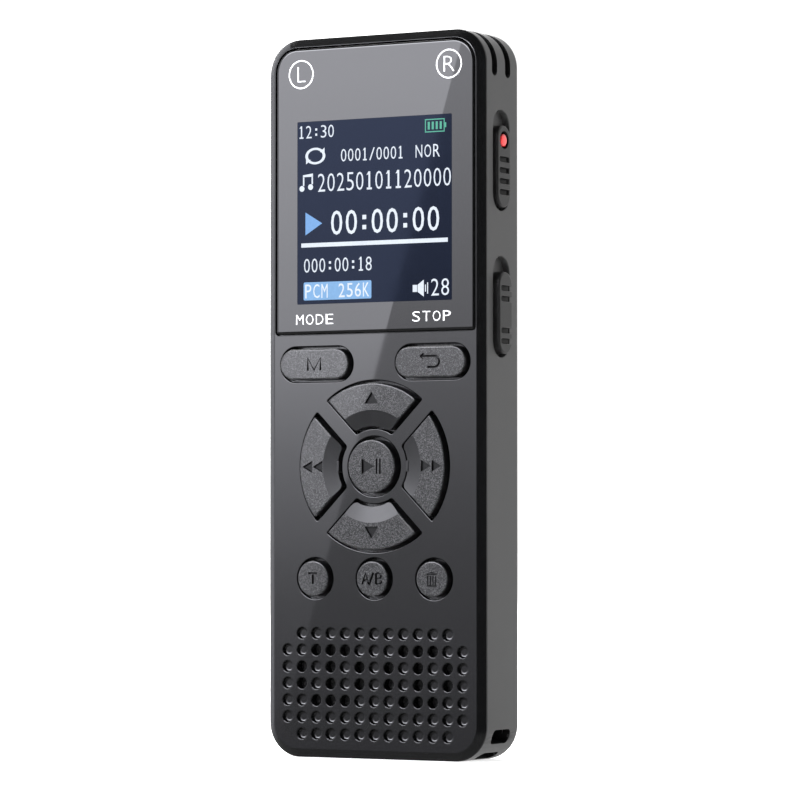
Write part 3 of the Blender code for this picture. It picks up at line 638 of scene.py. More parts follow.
def raise_grain(nodes, links, shader, value, strength, height):
    """Tilts the surface as if value raised it by height millimetres."""
    bump = nodes.new("ShaderNodeBump")
    bump.inputs["Strength"].default_value = strength
    bump.inputs["Distance"].default_value = height * MM
    links.new(value, bump.inputs["Height"])
    links.new(bump.outputs["Normal"], shader.inputs["Normal"])


def grey(value, tint=0.0):
    """A grey that leans to blue by tint."""
    return (value * (1 - tint), value, value * (1 + 2 * tint))


# %% Case, key and knob plastics
cover_paint = finish(
    "cover_paint", (grey(0.002, 0.03), grey(0.003, 0.03)), (0.36, 0.44), 0.15, 0.12, height=0.004,
    Coat_Weight=0.97, Coat_Roughness=0.02, Specular_IOR_Level=0.02,
)
shell_paint = finish(
    "shell_paint", (grey(0.028), grey(0.036)), (0.40, 0.48), 0.35, 0.10, height=0.006,
)
# Painted shade: a much darker plastic for the faces inside slots, channels, notches and grooves, where shade
# falls.
painted_recess_shade = finish(
    "painted_recess_shade", (grey(0.004), grey(0.007)), (0.5, 0.6), 0.3, 0.12, Specular_IOR_Level=0.2,
)
knob_plastic = finish(
    "knob_plastic", (grey(0.007), grey(0.012)), (0.36, 0.46), 0.4, 0.12, height=0.006,
    Specular_IOR_Level=0.38,
)
key_slope = finish(
    "key_slope", (grey(0.006, 0.02), grey(0.009, 0.02)), (0.32, 0.4), 0.1, 0.15, height=0.003,
    Coat_Weight=0.5, Coat_Roughness=0.16, Specular_IOR_Level=0.15,
)
engraving = finish(
    "engraving", (grey(0.004, 0.02), grey(0.007, 0.02)), (0.45, 0.6), 0.3, 0.1, Specular_IOR_Level=0.12,
    Coat_Weight=0.15, Coat_Roughness=0.1,
)
red_paint = finish(
    "red_paint", ((0.62, 0.016, 0.02), (0.78, 0.03, 0.03)), (0.25, 0.35), 0.1, 0.2,
    Coat_Weight=0.6, Coat_Roughness=0.05,
)


# %% [markdown]
# ## Blasted keys
#
# The keys were moulded in a tool that was blasted with grit, so their faces are covered in
# tiny pits that glitter as the eye moves. A bump alone looks soft. Cells of a Voronoi
# pattern, each with its own grey, paint the bright grains as painted glints in the base
# colour, and the same cells tilt the surface, which is the real part of the grain.

# %% The blasted finish
CELL_TILT, CELL_HEIGHT = 0.8, 0.02


def blasted(name, dark, bright, cell):
    """A finish whose cells, of that size in millimetres, run from dark to bright; the bright cells are
    painted glints.
    """
    made = finish(
        name, (dark, bright), (0.42, 0.6), Specular_IOR_Level=0.15, Coat_Weight=0.75, Coat_Roughness=0.03
    )
    nodes, links = made.node_tree.nodes, made.node_tree.links
    shader = nodes["Principled BSDF"]
    cells = nodes.new("ShaderNodeTexVoronoi")
    cells.inputs["Scale"].default_value = 1 / (cell * MM)
    links.new(place_in(nodes), cells.inputs["Vector"])
    shade = nodes.new("ShaderNodeSeparateColor")
    links.new(cells.outputs["Color"], shade.inputs["Color"])
    tones = ramp(
        nodes, links, shade.outputs["Red"],
        ((0.0, dark), (0.55, tuple(a * 0.85 + b * 0.15 for a, b in zip(dark, bright))), (1.0, bright)),
    )
    links.new(tones, shader.inputs["Base Color"])
    raise_grain(nodes, links, shader, shade.outputs["Green"], CELL_TILT, CELL_HEIGHT)
    return made


# The brightest cells are painted glints in the base colour; the tilt of the cells is the real grain.
key_grit_painted_glints = blasted("key_grit_painted_glints", grey(0.001, 0.01), grey(0.06, 0.01), 0.1)


# %% [markdown]
# ## Lens, screen and light
#
# The lens is clear acrylic printed from behind with dark ink, so its border is a deep, very
# smooth gloss. The window over the screen is coated against reflections, so it mirrors much
# less. The screen glows by itself: its ground is a dark blue that is a little lighter
# towards the top, and its signs are lit in white, green and blue.

# %% Lens, screen and glow finishes
lens_ink = finish(
    "lens_ink", (grey(0.002, 0.02), grey(0.003, 0.02)), (0.28, 0.3), Coat_Weight=1.0, Coat_Roughness=0.008,
    Specular_IOR_Level=0.0,
)
screen_glass = finish(
    "screen_glass", ((0.001, 0.0015, 0.003), (0.0015, 0.002, 0.004)), (0.02, 0.05),
    Specular_IOR_Level=0.12, Specular_Tint=(0.49, 0.62, 1.0, 1.0), Emission_Strength=1.0,
)
nodes, links = screen_glass.node_tree.nodes, screen_glass.node_tree.links
GROUND_FOOT, GROUND_TOP = 0.064, 0.092
GROUND = ((0.0, (0.0003, 0.0008, 0.003)), (1.0, (0.0004, 0.001, 0.004)))
height = axes_of(nodes, links, place_in(nodes))["Z"]
ground = ramp(nodes, links, between(nodes, links, height, GROUND_FOOT, GROUND_TOP), GROUND)
links.new(ground, nodes["Principled BSDF"].inputs["Emission Color"])


def lit(name, colour, strength=1.0):
    """A glowing sign: its light varies a little, as the cells of a screen do."""
    made = finish(
        name, (tuple(c * 0.03 for c in colour), tuple(c * 0.05 for c in colour)), (0.2, 0.3),
        Specular_IOR_Level=0.1, Emission_Strength=strength,
    )
    nodes, links = made.node_tree.nodes, made.node_tree.links
    source = nodes["Principled BSDF"].inputs["Base Color"].links[0].from_node
    tones = ramp(
        nodes, links, source.inputs["Fac"].links[0].from_socket,
        ((NOISE_LOW, tuple(c * 0.88 for c in colour)), (NOISE_HIGH, colour)),
    )
    links.new(tones, nodes["Principled BSDF"].inputs["Emission Color"])
    return made


glow_white = lit("glow_white", (0.80, 0.87, 0.96))
glow_green = lit("glow_green", (0.10, 0.46, 0.33))
glow_blue = lit("glow_blue", (0.20, 0.42, 0.80))
glow_badge = lit("glow_badge", (0.24, 0.46, 0.78))
print_white = finish("print_white", (grey(0.78), grey(0.86)), (0.3, 0.4), 0.1, 0.1, Emission_Strength=0.0)


# %% [markdown]
# ## Inner finishes
#
# The inside is seen only when the case is opened, yet each piece has its own surface: tracks
# run over the board, foil is faintly wrinkled, the speaker's cloth is woven, and stamped
# steel is streaked along its length.

# %% Metals, foams and films
steel = finish(
    "steel", (grey(0.5), grey(0.62)), (0.22, 0.38), 0.3, 0.2, (6, 1, 1), 0.004, Metallic=1.0,
)
screw_steel = finish("screw_black", (grey(0.03), grey(0.05)), (0.3, 0.45), 0.3, 0.1, Metallic=0.8)
can_metal = finish("can_metal", (grey(0.55), grey(0.7)), (0.3, 0.45), 0.3, 0.25, (1, 1, 8), Metallic=1.0)
battery_foil = finish(
    "battery_foil", (grey(0.42, 0.02), grey(0.55, 0.02)), (0.25, 0.45), 0.8, 2.2, height=0.08, Metallic=0.7,
)
foam = finish("foam", (grey(0.012), grey(0.04)), (0.85, 0.95), 1.0, 0.3, height=0.1)
rubber = finish("rubber", (grey(0.012), grey(0.018)), (0.7, 0.8), 0.4, 0.2)
chip_resin = finish("chip_resin", (grey(0.012), grey(0.02)), (0.5, 0.62), 0.4, 0.12)
housing = finish("switch_housing", (grey(0.015), grey(0.024)), (0.45, 0.55), 0.3, 0.15)
lever_nylon = finish("switch_lever", (grey(0.62), grey(0.7)), (0.4, 0.5), 0.2, 0.3, Subsurface_Weight=0.1)
cone_film = finish("speaker_film", (grey(0.02), grey(0.035)), (0.5, 0.65), 0.6, 0.6, height=0.04)
flex_film = finish("flex_film", ((0.36, 0.17, 0.03), (0.5, 0.26, 0.05)), (0.25, 0.35), 0.3, 0.5, (12, 1, 1))
light_guide = finish("light_guide", (grey(0.8), grey(0.9)), (0.3, 0.4), 0.3, 0.35)
red_wire = finish("red_wire", ((0.42, 0.01, 0.01), (0.55, 0.02, 0.02)), (0.4, 0.5), 0.2, 0.2)
black_wire = finish("black_wire", (grey(0.012), grey(0.02)), (0.4, 0.5), 0.2, 0.2)


# %% The board's tracks and the cloth's weave
def add_lines(material, axis, pitch, width, colour):
    """Lays lines of a colour over a finish, along one axis, as wide as a share of their pitch."""
    nodes, links = material.node_tree.nodes, material.node_tree.links
    shader = nodes["Principled BSDF"]
    along = axes_of(nodes, links, place_in(nodes))[axis]
    counted = sums(nodes, links, "MULTIPLY", along, 1 / (pitch * MM))
    share = sums(nodes, links, "FRACT", counted, 0.0)
    on = sums(nodes, links, "LESS_THAN", share, width)
    blocks = noise(nodes, links, place_in(nodes), 5.0, 1)
    on = sums(nodes, links, "MULTIPLY", on, sums(nodes, links, "GREATER_THAN", blocks, 0.5))
    mix = nodes.new("ShaderNodeMix")
    mix.data_type = "RGBA"
    before = shader.inputs["Base Color"].links[0].from_socket
    links.new(on, mix.inputs["Factor"])
    links.new(before, mix.inputs[6])
    mix.inputs[7].default_value = (*colour, 1)
    links.new(mix.outputs[2], shader.inputs["Base Color"])


board_mask = finish("board_green", ((0.008, 0.07, 0.025), (0.012, 0.09, 0.035)), (0.3, 0.4), 0.3, 0.2)
add_lines(board_mask, "X", 0.9, 0.3, (0.03, 0.2, 0.07))
add_lines(board_mask, "Z", 1.1, 0.25, (0.03, 0.2, 0.07))

STRANDS, WEAVE_TILT, WEAVE_HEIGHT = 700.0, 0.8, 0.05
cloth_weave = finish("grille_cloth", (grey(0.006), grey(0.014)), (0.85, 0.95))
nodes, links = cloth_weave.node_tree.nodes, cloth_weave.node_tree.links
wave_height = None
for axis in ("X", "Z"):
    wave = nodes.new("ShaderNodeTexWave")
    wave.bands_direction = axis
    wave.inputs["Scale"].default_value = STRANDS
    links.new(place_in(nodes), wave.inputs["Vector"])
    strand = wave.outputs["Fac"]
    wave_height = strand if wave_height is None else sums(nodes, links, "ADD", wave_height, strand)
raise_grain(nodes, links, nodes["Principled BSDF"], wave_height, WEAVE_TILT, WEAVE_HEIGHT)
print(len(bpy.data.materials), "finishes made")


# %% [markdown]
# ## Front cover
#
# The cover is one moulded plate. Its edge slopes back to the seam, with a soft break at each
# end of the slope, and a plug behind it drops into the rear shell. It is grown from the case
# outline at the seam, forwards over the slope and back into the plug. Then one gathered tool
# cuts all the key holes and the grille, so that every rim has the same small rounding.

# %% The plate and its plug
CORNER = 5.0
SEAM, SEAM_GAP, PLATE, PLUG_INSET = 0.85, 0.1, 1.3, 1.45
SLOPE = [(0.04, 0.06), (0.06, 0.06), (0.97, 0.57), (0.08, 0.04), (0.10, 0.02)]
SCREWS = [middle_of(f"case_screw_{number}")[::2] for number in range(1, 5)]
BOSS_RADIUS, POST_RADIUS, SCREW_BORE = 1.65, 2.5, 1.0


def case_face(depth, inset=0.0):
    corner = CORNER - inset
    size = (2 * (HALF_WIDTH - inset), HEIGHT - 2 * inset)
    return plate((0, depth, HEIGHT / 2), *size, (corner, corner), arc=20)


def block(low, high):
    """A box between two (x, depth, z) corners."""
    bm = bmesh.new()
    bmesh.ops.create_cube(bm, size=1.0)
    bmesh.ops.scale(bm, verts=bm.verts, vec=[(b - a) * MM for a, b in zip(low, high)])
    bmesh.ops.translate(bm, verts=bm.verts, vec=at(*[(a + b) / 2 for a, b in zip(low, high)]))
    return bm


bm = case_face(SEAM)
grow(bm, [(0, SEAM - sum(step[1] for step in SLOPE)), *SLOPE])
base = max(bm.faces, key=lambda face: face.calc_center_median().y)
grow(bm, [(PLUG_INSET, 0), (0, PLATE - SEAM)], "back", base)
cover = piece("front_cover_moulding", bm)

# %% The lens recess, the window and the screw bosses
lens_low, lens_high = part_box("display_lens")
LENS_HALF, LENS_LOW, LENS_HIGH = lens_high.x / MM, lens_low.z / MM, lens_high.z / MM
LENS_CORNERS = (0.5, 3.5)
RECESS_GAP, RECESS_DEPTH = 0.12, 0.9
SCREEN = (12.75, 65.15, 91.5)


def lens_face(depth, beyond=0.0):
    """The lens outline, drawn a little bigger by beyond."""
    centre = (0, depth, (LENS_LOW + LENS_HIGH) / 2)
    size = (2 * (LENS_HALF + beyond), LENS_HIGH - LENS_LOW + 2 * beyond)
    return plate(centre, *size, [radius + beyond for radius in LENS_CORNERS], arc=14)


def screen_face(depth, beyond):
    half, low, high = SCREEN
    size = (2 * (half + beyond), high - low + 2 * beyond)
    return plate((0, depth, (low + high) / 2), *size, (0.15, 0.15), arc=3)


RECESS_RIM = 0.07
combine(cover, hole_tool(lens_face(-CLEAR, RECESS_GAP + RECESS_RIM), RECESS_RIM, RECESS_DEPTH))
combine(cover, prism(screen_face(0.2, 0.35), 2.0))
for x, z in SCREWS:
    combine(cover, prism(disc((x, PLATE - 0.3, z), BOSS_RADIUS), 6.9), "UNION")
    combine(cover, prism(disc((x, 2.5, z), SCREW_BORE), 7.0))

# %% Key holes and grille
BAR_HOLE = (12.1, 5.1)
PAD_OUTER, PAD_INNER, PAD_STRAP = 12.28, 5.4, 2.35
ROUND_KEYS = {"play": 4.3, "t": 2.96, "ab": 2.96, "delete": 2.96}
HOLE_RIM = 0.17
TURN_OF = {"right": 0, "up": 90, "left": 180, "down": 270}


def key_hole_faces(beyond, depth):
    """The outline of each key's hole, drawn bigger all round by beyond."""
    for name in ("mode", "back"):
        x, _, z = middle_of(f"key_{name}")
        width, height = (size + 2 * beyond for size in BAR_HOLE)
        yield bar((x, depth, z), width, height, arc=18)
    for turn in TURN_OF.values():
        outer, inner = PAD_OUTER + beyond, PAD_INNER - beyond
        yield pad_quarter(turn, outer, inner, PAD_STRAP - 2 * beyond, depth, 0.25 + beyond)
    for name, radius in ROUND_KEYS.items():
        x, _, z = middle_of(f"key_{name}")
        yield disc((x, depth, z), radius + beyond, 64)


PITCH, GRILLE_TOP, GRILLE_HOLE, GRILLE_RIM = 2.4, 17.85, 0.8, 0.15
OPEN_COLUMNS = {1: (2, 3, 4, 8, 9, 10), 2: range(1, 12, 2), 3: range(1, 12, 2), 4: (2, 3, 4, 8, 9, 10)}
BEFORE = -CLEAR


def grille_tools():
    """Open holes reach through to the speaker cloth; the others end in a shallow dish."""
    for row in range(7):
        for column in range(13):
            if row in (0, 6) and column in (0, 12):
                continue
            spot = ((column - 6) * PITCH, BEFORE, GRILLE_TOP - row * PITCH)
            tool = disc(spot, GRILLE_HOLE + GRILLE_RIM, 20)
            if column in OPEN_COLUMNS.get(row, ()):
                yield hole_tool(tool, GRILLE_RIM, 2.0, steps=3)
            else:
                dish = [(0, -BEFORE - HAIR), *flare(GRILLE_RIM, 3), (0, 0.3), *round_over(0.16, 3, 0.3)]
                grow(tool, dish, "back")
                yield tool


combine(cover, gather(hole_tool(face, HOLE_RIM, 2.5) for face in key_hole_faces(HOLE_RIM, BEFORE)))
combine(cover, gather(grille_tools()))
settle(cover, "case", [cover_paint], ["front_cover"])


# %% [markdown]
# ## Rear shell
#
# The shell is a deep tub. Its outside is the case outline carried back and rolled over a
# generous back edge. A smaller outline hollows it. Two pads behind the right wall give the
# sliders a floor to run on, slots over both top corners let sound in to the microphones, and
# a curved channel through the low right corner leaves a bar to tie a strap to.

# %% The tub
WALL, BACK_ROUND = 1.2, 1.4
MID_DEPTH, SEAM_RIM, INNER_ROUND = 3.0, 0.09, 0.8
bm = case_face(MID_DEPTH)
grow(bm, [(0, CASE_DEPTH - MID_DEPTH - BACK_ROUND), *round_over(BACK_ROUND, 9)], "back")
base = min(bm.faces, key=lambda face: face.calc_center_median().y)
grow(bm, [(0, MID_DEPTH - SEAM - SEAM_GAP - SEAM_RIM), *round_over(SEAM_RIM, 3)], "forward", base)
shell = piece("rear_shell_moulding", bm)
bm = case_face(0.0, WALL)
grow(bm, [(0, CASE_DEPTH - WALL - INNER_ROUND), *round_over(INNER_ROUND, 4)], "back")
combine(shell, bm)

# %% Slider pads and pockets
SLIDER_DEPTH, POCKET_WIDTH, POCKET_FLOOR = 5.2, 4.7, 16.86
KNOB_LENGTH, KNOB_TRAVEL = 11.7, 1.8
STEM_HALF, STEM_HALF_DEPTH, STEM_ROOM = 1.6, 1.0, 0.25
POCKET_RIM, POCKET_PLAY = 0.18, 0.8
for name in ("record", "hold"):
    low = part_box(f"{name}_slider")[0].z / MM
    high = low + KNOB_LENGTH + KNOB_TRAVEL
    pad = block((15.4, 2.75, low - 1.5), (HALF_WIDTH - WALL / 2, 8.1, high + 0.9))
    combine(shell, pad, "UNION")
    centre = (HALF_WIDTH + CLEAR, SLIDER_DEPTH, (low + high) / 2)
    across, along = POCKET_WIDTH + 2 * POCKET_RIM, high - low + POCKET_PLAY + 2 * POCKET_RIM
    pocket = bar(centre, across, along, "side", 16)
    combine(shell, hole_tool(pocket, POCKET_RIM, HALF_WIDTH - POCKET_FLOOR, way="left"))
    rest = low + KNOB_LENGTH / 2
    slot_half = STEM_HALF_DEPTH + STEM_ROOM
    slot_low = (14.2, SLIDER_DEPTH - slot_half, rest - STEM_HALF - STEM_ROOM)
    slot_high = (POCKET_FLOOR + 0.6, SLIDER_DEPTH + slot_half, rest + STEM_HALF + KNOB_TRAVEL + STEM_ROOM)
    combine(shell, block(slot_low, slot_high))


# %% Ring tools for the corners
def ring_tool(centre, inner, outer, start, end, depths):
    """A closed part of a ring, between two angles and two depths."""
    bm = sweep(at(centre[0], depths[0], centre[1]), inner, outer, start, end - start, 12)
    bmesh.ops.remove_doubles(bm, verts=bm.verts, dist=0.001 * MM)
    bmesh.ops.dissolve_faces(bm, faces=bm.faces, use_verts=False)
    grow(bm, [(0, depths[1] - depths[0])], "back")
    return bm


def rod(start, end, radius, sides=32):
    """A round bar between two (x, depth, z) points."""
    start, end = at(*start), at(*end)
    bm = bmesh.new()
    length = (end - start).length
    bmesh.ops.create_cone(
        bm, cap_ends=True, segments=sides, radius1=radius * MM, radius2=radius * MM, depth=length
    )
    turn = Vector((0, 0, 1)).rotation_difference(end - start).to_matrix().to_4x4()
    bmesh.ops.transform(bm, matrix=Matrix.Translation((start + end) / 2) @ turn, verts=bm.verts)
    return bm


# %% Microphone slots
MIC_DEPTHS, MIC_HALF, MIC_REACH = (3.2, 7.1), 0.775, 0.9
corner_x, corner_z = HALF_WIDTH - CORNER, HEIGHT - CORNER
MIC_INNER, MIC_OUTER = CORNER - WALL - 0.3, CORNER + 1.0


def mic_slot(side, depth):
    """Tools for a slot round a top corner; it runs on along both walls to round ends."""
    x, z, start = side * corner_x, corner_z, 0 if side > 0 else 90
    front, back = depth - MIC_HALF, depth + MIC_HALF
    yield ring_tool((x, z), MIC_INNER, MIC_OUTER, start, start + 90, (front, back))
    low, high = sorted((x + side * MIC_INNER, x + side * MIC_OUTER))
    foot, tip = z - MIC_REACH, x - side * MIC_REACH
    yield block((low, front, foot), (high, back, z + 0.001))
    yield rod((low, depth, foot), (high, depth, foot), MIC_HALF)
    left, right = sorted((x, tip))
    yield block((left, front, z + MIC_INNER), (right, back, z + MIC_OUTER))
    yield rod((tip, depth, z + MIC_INNER), (tip, depth, z + MIC_OUTER), MIC_HALF)


# The faces inside the microphone slots take the dark painted shade.
for side in (-1, 1):
    for depth in MIC_DEPTHS:
        for tool in mic_slot(side, depth):
            combine(shell, tool, mark=1)
print(2 * len(MIC_DEPTHS), "microphone slots cut")

# %% Strap eye
EYE_HUB, EYE_DEPTHS = (corner_x, CORNER), (2.8, 7.9)
combine(shell, block((11.9, 2.1, WALL / 2), (16.4, 8.8, 6.1)), "UNION")
combine(shell, ring_tool(EYE_HUB, CORNER + 0.001, CORNER + 3, -89, -1, (0.0, CASE_DEPTH)))
# The strap channel, and the straight run of each mouth below, take the dark painted shade.
combine(shell, ring_tool(EYE_HUB, 1.4, 3.2, -71, -6, EYE_DEPTHS), mark=1)
EYE_RIM, EYE_REACH = 0.14, 3.3
EYE_MOUTHS = ((18.5, 2.1), (61, 1.9))
for turn, tall in EYE_MOUTHS:
    centre = (EYE_HUB[0] + CORNER + CLEAR, sum(EYE_DEPTHS) / 2, EYE_HUB[1])
    size = (EYE_DEPTHS[1] - EYE_DEPTHS[0], tall)
    outer = plate(centre, *(side + 2 * EYE_RIM for side in size), (0.95, 0.95), "side", 7)
    mouth = hole_tool(outer, EYE_RIM, EYE_RIM + 0.25, way="left")
    hub = at(EYE_HUB[0], 0, EYE_HUB[1])
    through = prism(plate(centre, *size, (0.8, 0.8), "side", 7), EYE_REACH + CLEAR, "left")
    lean = Matrix.Rotation(math.radians(turn), 3, "Y")
    for mark, tool in enumerate((mouth, through)):
        bmesh.ops.rotate(tool, cent=hub, matrix=lean, verts=tool.verts)
        combine(shell, tool, mark=mark)

# %% Screw posts and the holes in the top end
END_RIM, END_DEPTH = 0.15, 2.6
HEAD_ROOM, JACK_ROOM = 1.8, 3.1
for x, z in SCREWS:
    combine(shell, prism(disc((x, 8.1, z), POST_RADIUS), 2.3), "UNION")
    combine(shell, prism(disc((x, 7.0, z), SCREW_BORE), 5.0))
    head = disc((x, CASE_DEPTH + CLEAR, z), HEAD_ROOM + END_RIM)
    combine(shell, hole_tool(head, END_RIM, 1.5, way="forward"))
JACK, USB = (6.4, 6.7), (-5.0, 5.9)
USB_SIZE, USB_PLAY = (8.94, 3.2), 0.9
jack_hole = disc((*JACK, HEIGHT + CLEAR), JACK_ROOM + END_RIM, facing="top")
combine(shell, hole_tool(jack_hole, END_RIM, END_DEPTH, way="down"))
usb_hole = bar((*USB, HEIGHT + CLEAR), USB_SIZE[0] + USB_PLAY, USB_SIZE[1] + USB_PLAY, "top")
combine(shell, hole_tool(usb_hole, END_RIM, END_DEPTH, way="down"))
# The second finish is the dark painted shade inside the slots and the strap channel.
settle(shell, "case", [shell_paint, painted_recess_shade], ["rear_shell"])


# %% [markdown]
# ## Lens border and screen
#
# The lens stands a little proud of the cover and its edge is rolled over, which draws a
# bright line all round it. It is made here as the printed border with a window in it, and
# the screen is a slab that fills the window flush, so the two read as one sheet of glass.

# %% The border and the slab
LENS_FACE = (lens_low.y - FRONT) / MM
LENS_SIDE = 0.3
bm = lens_face(0.75)
rise = LENS_SIDE - LENS_FACE
grow(bm, [(0, 0.75 - LENS_SIDE), *round_over(rise, 7, 0.46)])
lens = piece("lens_border", bm)
combine(lens, prism(screen_face(-1.0, 0.02), 3.0))
settle(lens, "case", [lens_ink], ["display_lens"])

SCREEN_FACE = LENS_FACE + 0.01
bm = screen_face(1.7, 0.0)
grow(bm, [(0, 1.7 - SCREEN_FACE)])
settle(piece("screen_slab", bm), "case", [screen_glass], ["display_panel"])


# %% [markdown]
# ## Signs on the screen and the lens
#
# Letters are text curves that are made a mesh, then stretched to the space they fill. The
# small pictures are plates, discs and pointers. Each colour is one piece, raised a hair
# from the glass, so that nothing flickers where two faces would share a plane.

# %% Text and small shapes
SIGN = 0.012
GLASS = SCREEN_FACE - 0.002
BADGE_TOP = GLASS - SIGN - 0.002
LETTER_WELD = 0.0001


def meshed(curve, weld):
    """The shape of a curve or a text as a bmesh; the curve itself is removed."""
    obj = bpy.data.objects.new(curve.name, curve)
    bpy.context.scene.collection.objects.link(obj)
    bpy.context.view_layer.update()
    graph = bpy.context.evaluated_depsgraph_get()
    mesh = bpy.data.meshes.new_from_object(obj.evaluated_get(graph))
    bm = bmesh.new()
    bm.from_mesh(mesh)
    bpy.data.meshes.remove(mesh)
    bpy.data.objects.remove(obj)
    bpy.data.curves.remove(curve)
    bmesh.ops.remove_doubles(bm, verts=bm.verts, dist=weld)
    return bm


def lettering(text, left, right, low, high, depth, thickness=SIGN, weight=0.0):
    """A line of text that fills a box of the front plane."""
    curve = bpy.data.curves.new("letters", "FONT")
    curve.body = text
    curve.extrude = 0.5
    curve.offset = weight
    curve.resolution_u = 3
    bm = meshed(curve, LETTER_WELD)
    spans = [(min(v.co[i] for v in bm.verts), max(v.co[i] for v in bm.verts)) for i in range(3)]
    sizes = (right - left, high - low, thickness)
    for vert in bm.verts:
        vert.co = [
            (vert.co[i] - sum(spans[i]) / 2) / (spans[i][1] - spans[i][0]) * sizes[i] * MM for i in range(3)
        ]
    centre = at((left + right) / 2, depth - thickness / 2, (low + high) / 2)
    bmesh.ops.transform(bm, matrix=Matrix.Translation(centre) @ TURNS["front"], verts=bm.verts)
    return bm


def slab(left, right, low, high, depth, thickness=SIGN, corner=0.0):
    """A thin rectangle that rises from a depth towards the front."""
    centre = ((left + right) / 2, depth, (low + high) / 2)
    return prism(plate(centre, right - left, high - low, (corner, corner), arc=4), thickness, "forward")


def flat(points, depth):
    """One face of the front plane through a few (x, z) points."""
    bm = bmesh.new()
    bm.faces.new([bm.verts.new(at(x, depth, z)) for x, z in points])
    return bm


def pointer(points, depth, thickness=SIGN):
    """A thin flat shape through a few (x, z) points."""
    return prism(flat(points, depth), thickness, "forward")


def ring(centre, outer, inner, depth, thickness=SIGN, stretch=1.0):
    """A flat ring; stretch makes it wider than high."""
    bm = disc((0, 0, 0), outer, 40)
    bmesh.ops.translate(bm, verts=bm.verts, vec=-at(0, 0, 0))
    face = bm.faces[:][0]
    bmesh.ops.inset_region(bm, faces=[face], thickness=(outer - inner) * MM, use_boundary=True)
    bmesh.ops.delete(bm, geom=[face], context="FACES")
    bmesh.ops.scale(bm, verts=bm.verts, vec=(stretch, 1, 1))
    whole = [*bm.faces, *bm.edges, *bm.verts]
    drawn = bmesh.ops.extrude_face_region(bm, geom=whole)["geom"]
    moved = [item for item in drawn if isinstance(item, bmesh.types.BMVert)]
    bmesh.ops.translate(bm, verts=moved, vec=WAYS["forward"] * thickness * MM)
    bmesh.ops.translate(bm, verts=bm.verts, vec=at(centre[0], depth, centre[1]))
    return bm


# %% Text for the screen
SIGN_HALF, DOT_HALF, STROKE_HALF = 0.38, 0.09, 0.055
DOT_HEIGHTS = (0.27, 0.68)


def spaced(text, left, right, low, high, weight=0.0, depth=GLASS, colon=1.0):
    """Screen text: signs stand in cells of one width, as on a dot display."""
    shares = [colon if sign == ":" else 1.0 for sign in text]
    cell = (right - left) / sum(shares)
    tall = high - low
    for number, sign in enumerate(text):
        middle = left + cell * (sum(shares[:number]) + shares[number] / 2)
        half = cell * SIGN_HALF
        if sign == ":":
            dot = tall * DOT_HALF
            for height in DOT_HEIGHTS:
                centre = low + tall * height
                yield slab(middle - dot, middle + dot, centre - dot, centre + dot, depth)
        elif sign == "1":
            stem = tall * STROKE_HALF
            yield slab(middle - stem, middle + stem, low + 2.1 * stem, high, depth)
            yield slab(middle - half * 0.7, middle + half * 0.7, low, low + 2 * stem, depth)
            tip = (middle - half * 0.75, high - tall * 0.2)
            yield pointer(((middle - stem, high), tip, (middle - stem, high - tall * 0.16)), depth)
        elif sign != " ":
            yield lettering(sign, middle - half, middle + half, low, high, depth, weight=weight)


# %% What the screen shows
white_signs = [
    *spaced("12:30", -12.7, -6.5, 89.1, 90.9, -0.008),
    *spaced("0001/0001", -5.6, 5.0, 85.5, 87.3, -0.008),
    *spaced("NOR", 6.7, 11.0, 85.5, 87.3, -0.004),
    *spaced("20250101120000", -9.5, 12.8, 81.3, 83.9, -0.01),
    *spaced("00:00:00", -7.4, 11.0, 75.0, 78.5, 0.0, colon=0.75),
    *spaced("000:00:18", -11.8, -0.2, 69.7, 71.7, -0.008),
    *spaced("28", 9.2, 12.5, 65.8, 68.2, -0.008),
    slab(-12.1, 12.1, 73.35, 73.95, GLASS),
    slab(6.4, 7.1, 66.4, 67.4, GLASS),
    pointer(((7.2, 66.4), (8.2, 65.7), (8.2, 68.1), (7.2, 67.4)), GLASS),
    slab(8.4, 8.55, 66.4, 67.4, GLASS),
    slab(8.75, 8.9, 66.1, 67.7, GLASS),
]
loop_x, loop_z = -9.75, 86.5
LOOP_TIP = ((0.75, 0.55), (1.55, 0.35), (1.55, 1.15))
white_signs.append(ring((loop_x, loop_z), 1.2, 0.88, GLASS, stretch=1.4))
for side in (1, -1):
    tip = [(loop_x + side * right, loop_z + side * up) for right, up in LOOP_TIP]
    white_signs.append(pointer(tip, BADGE_TOP))
note_z = 81.5
beam = [(-11.83, note_z + 2.03), (-10.15, note_z + 2.03), (-10.15, note_z + 2.5), (-11.83, note_z + 2.3)]
white_signs += [
    prism(disc((-12.0, GLASS, note_z + 0.35), 0.42, 20), SIGN, "forward"),
    prism(disc((-10.55, GLASS, note_z + 0.55), 0.42, 20), SIGN, "forward"),
    slab(-11.83, -11.6, note_z + 0.75, note_z + 2.0, GLASS),
    slab(-10.38, -10.15, note_z + 0.95, note_z + 2.0, GLASS),
    pointer(beam, GLASS),
]
settle(piece("screen_signs_white", gather(white_signs)), "case", [glow_white])

battery_sign = [
    slab(8.4, 11.6, 90.75, 90.9, GLASS),
    slab(8.4, 11.6, 89.0, 89.15, GLASS),
    slab(8.4, 8.55, 89.17, 90.73, GLASS),
    slab(11.45, 11.6, 89.17, 90.73, GLASS),
    slab(11.62, 11.85, 89.6, 90.3, GLASS),
]
battery_sign += [slab(x, x + 0.34, 89.4, 90.5, GLASS) for x in (8.85, 9.5, 10.15, 10.8)]
settle(piece("screen_battery_sign", gather(battery_sign)), "case", [glow_green])

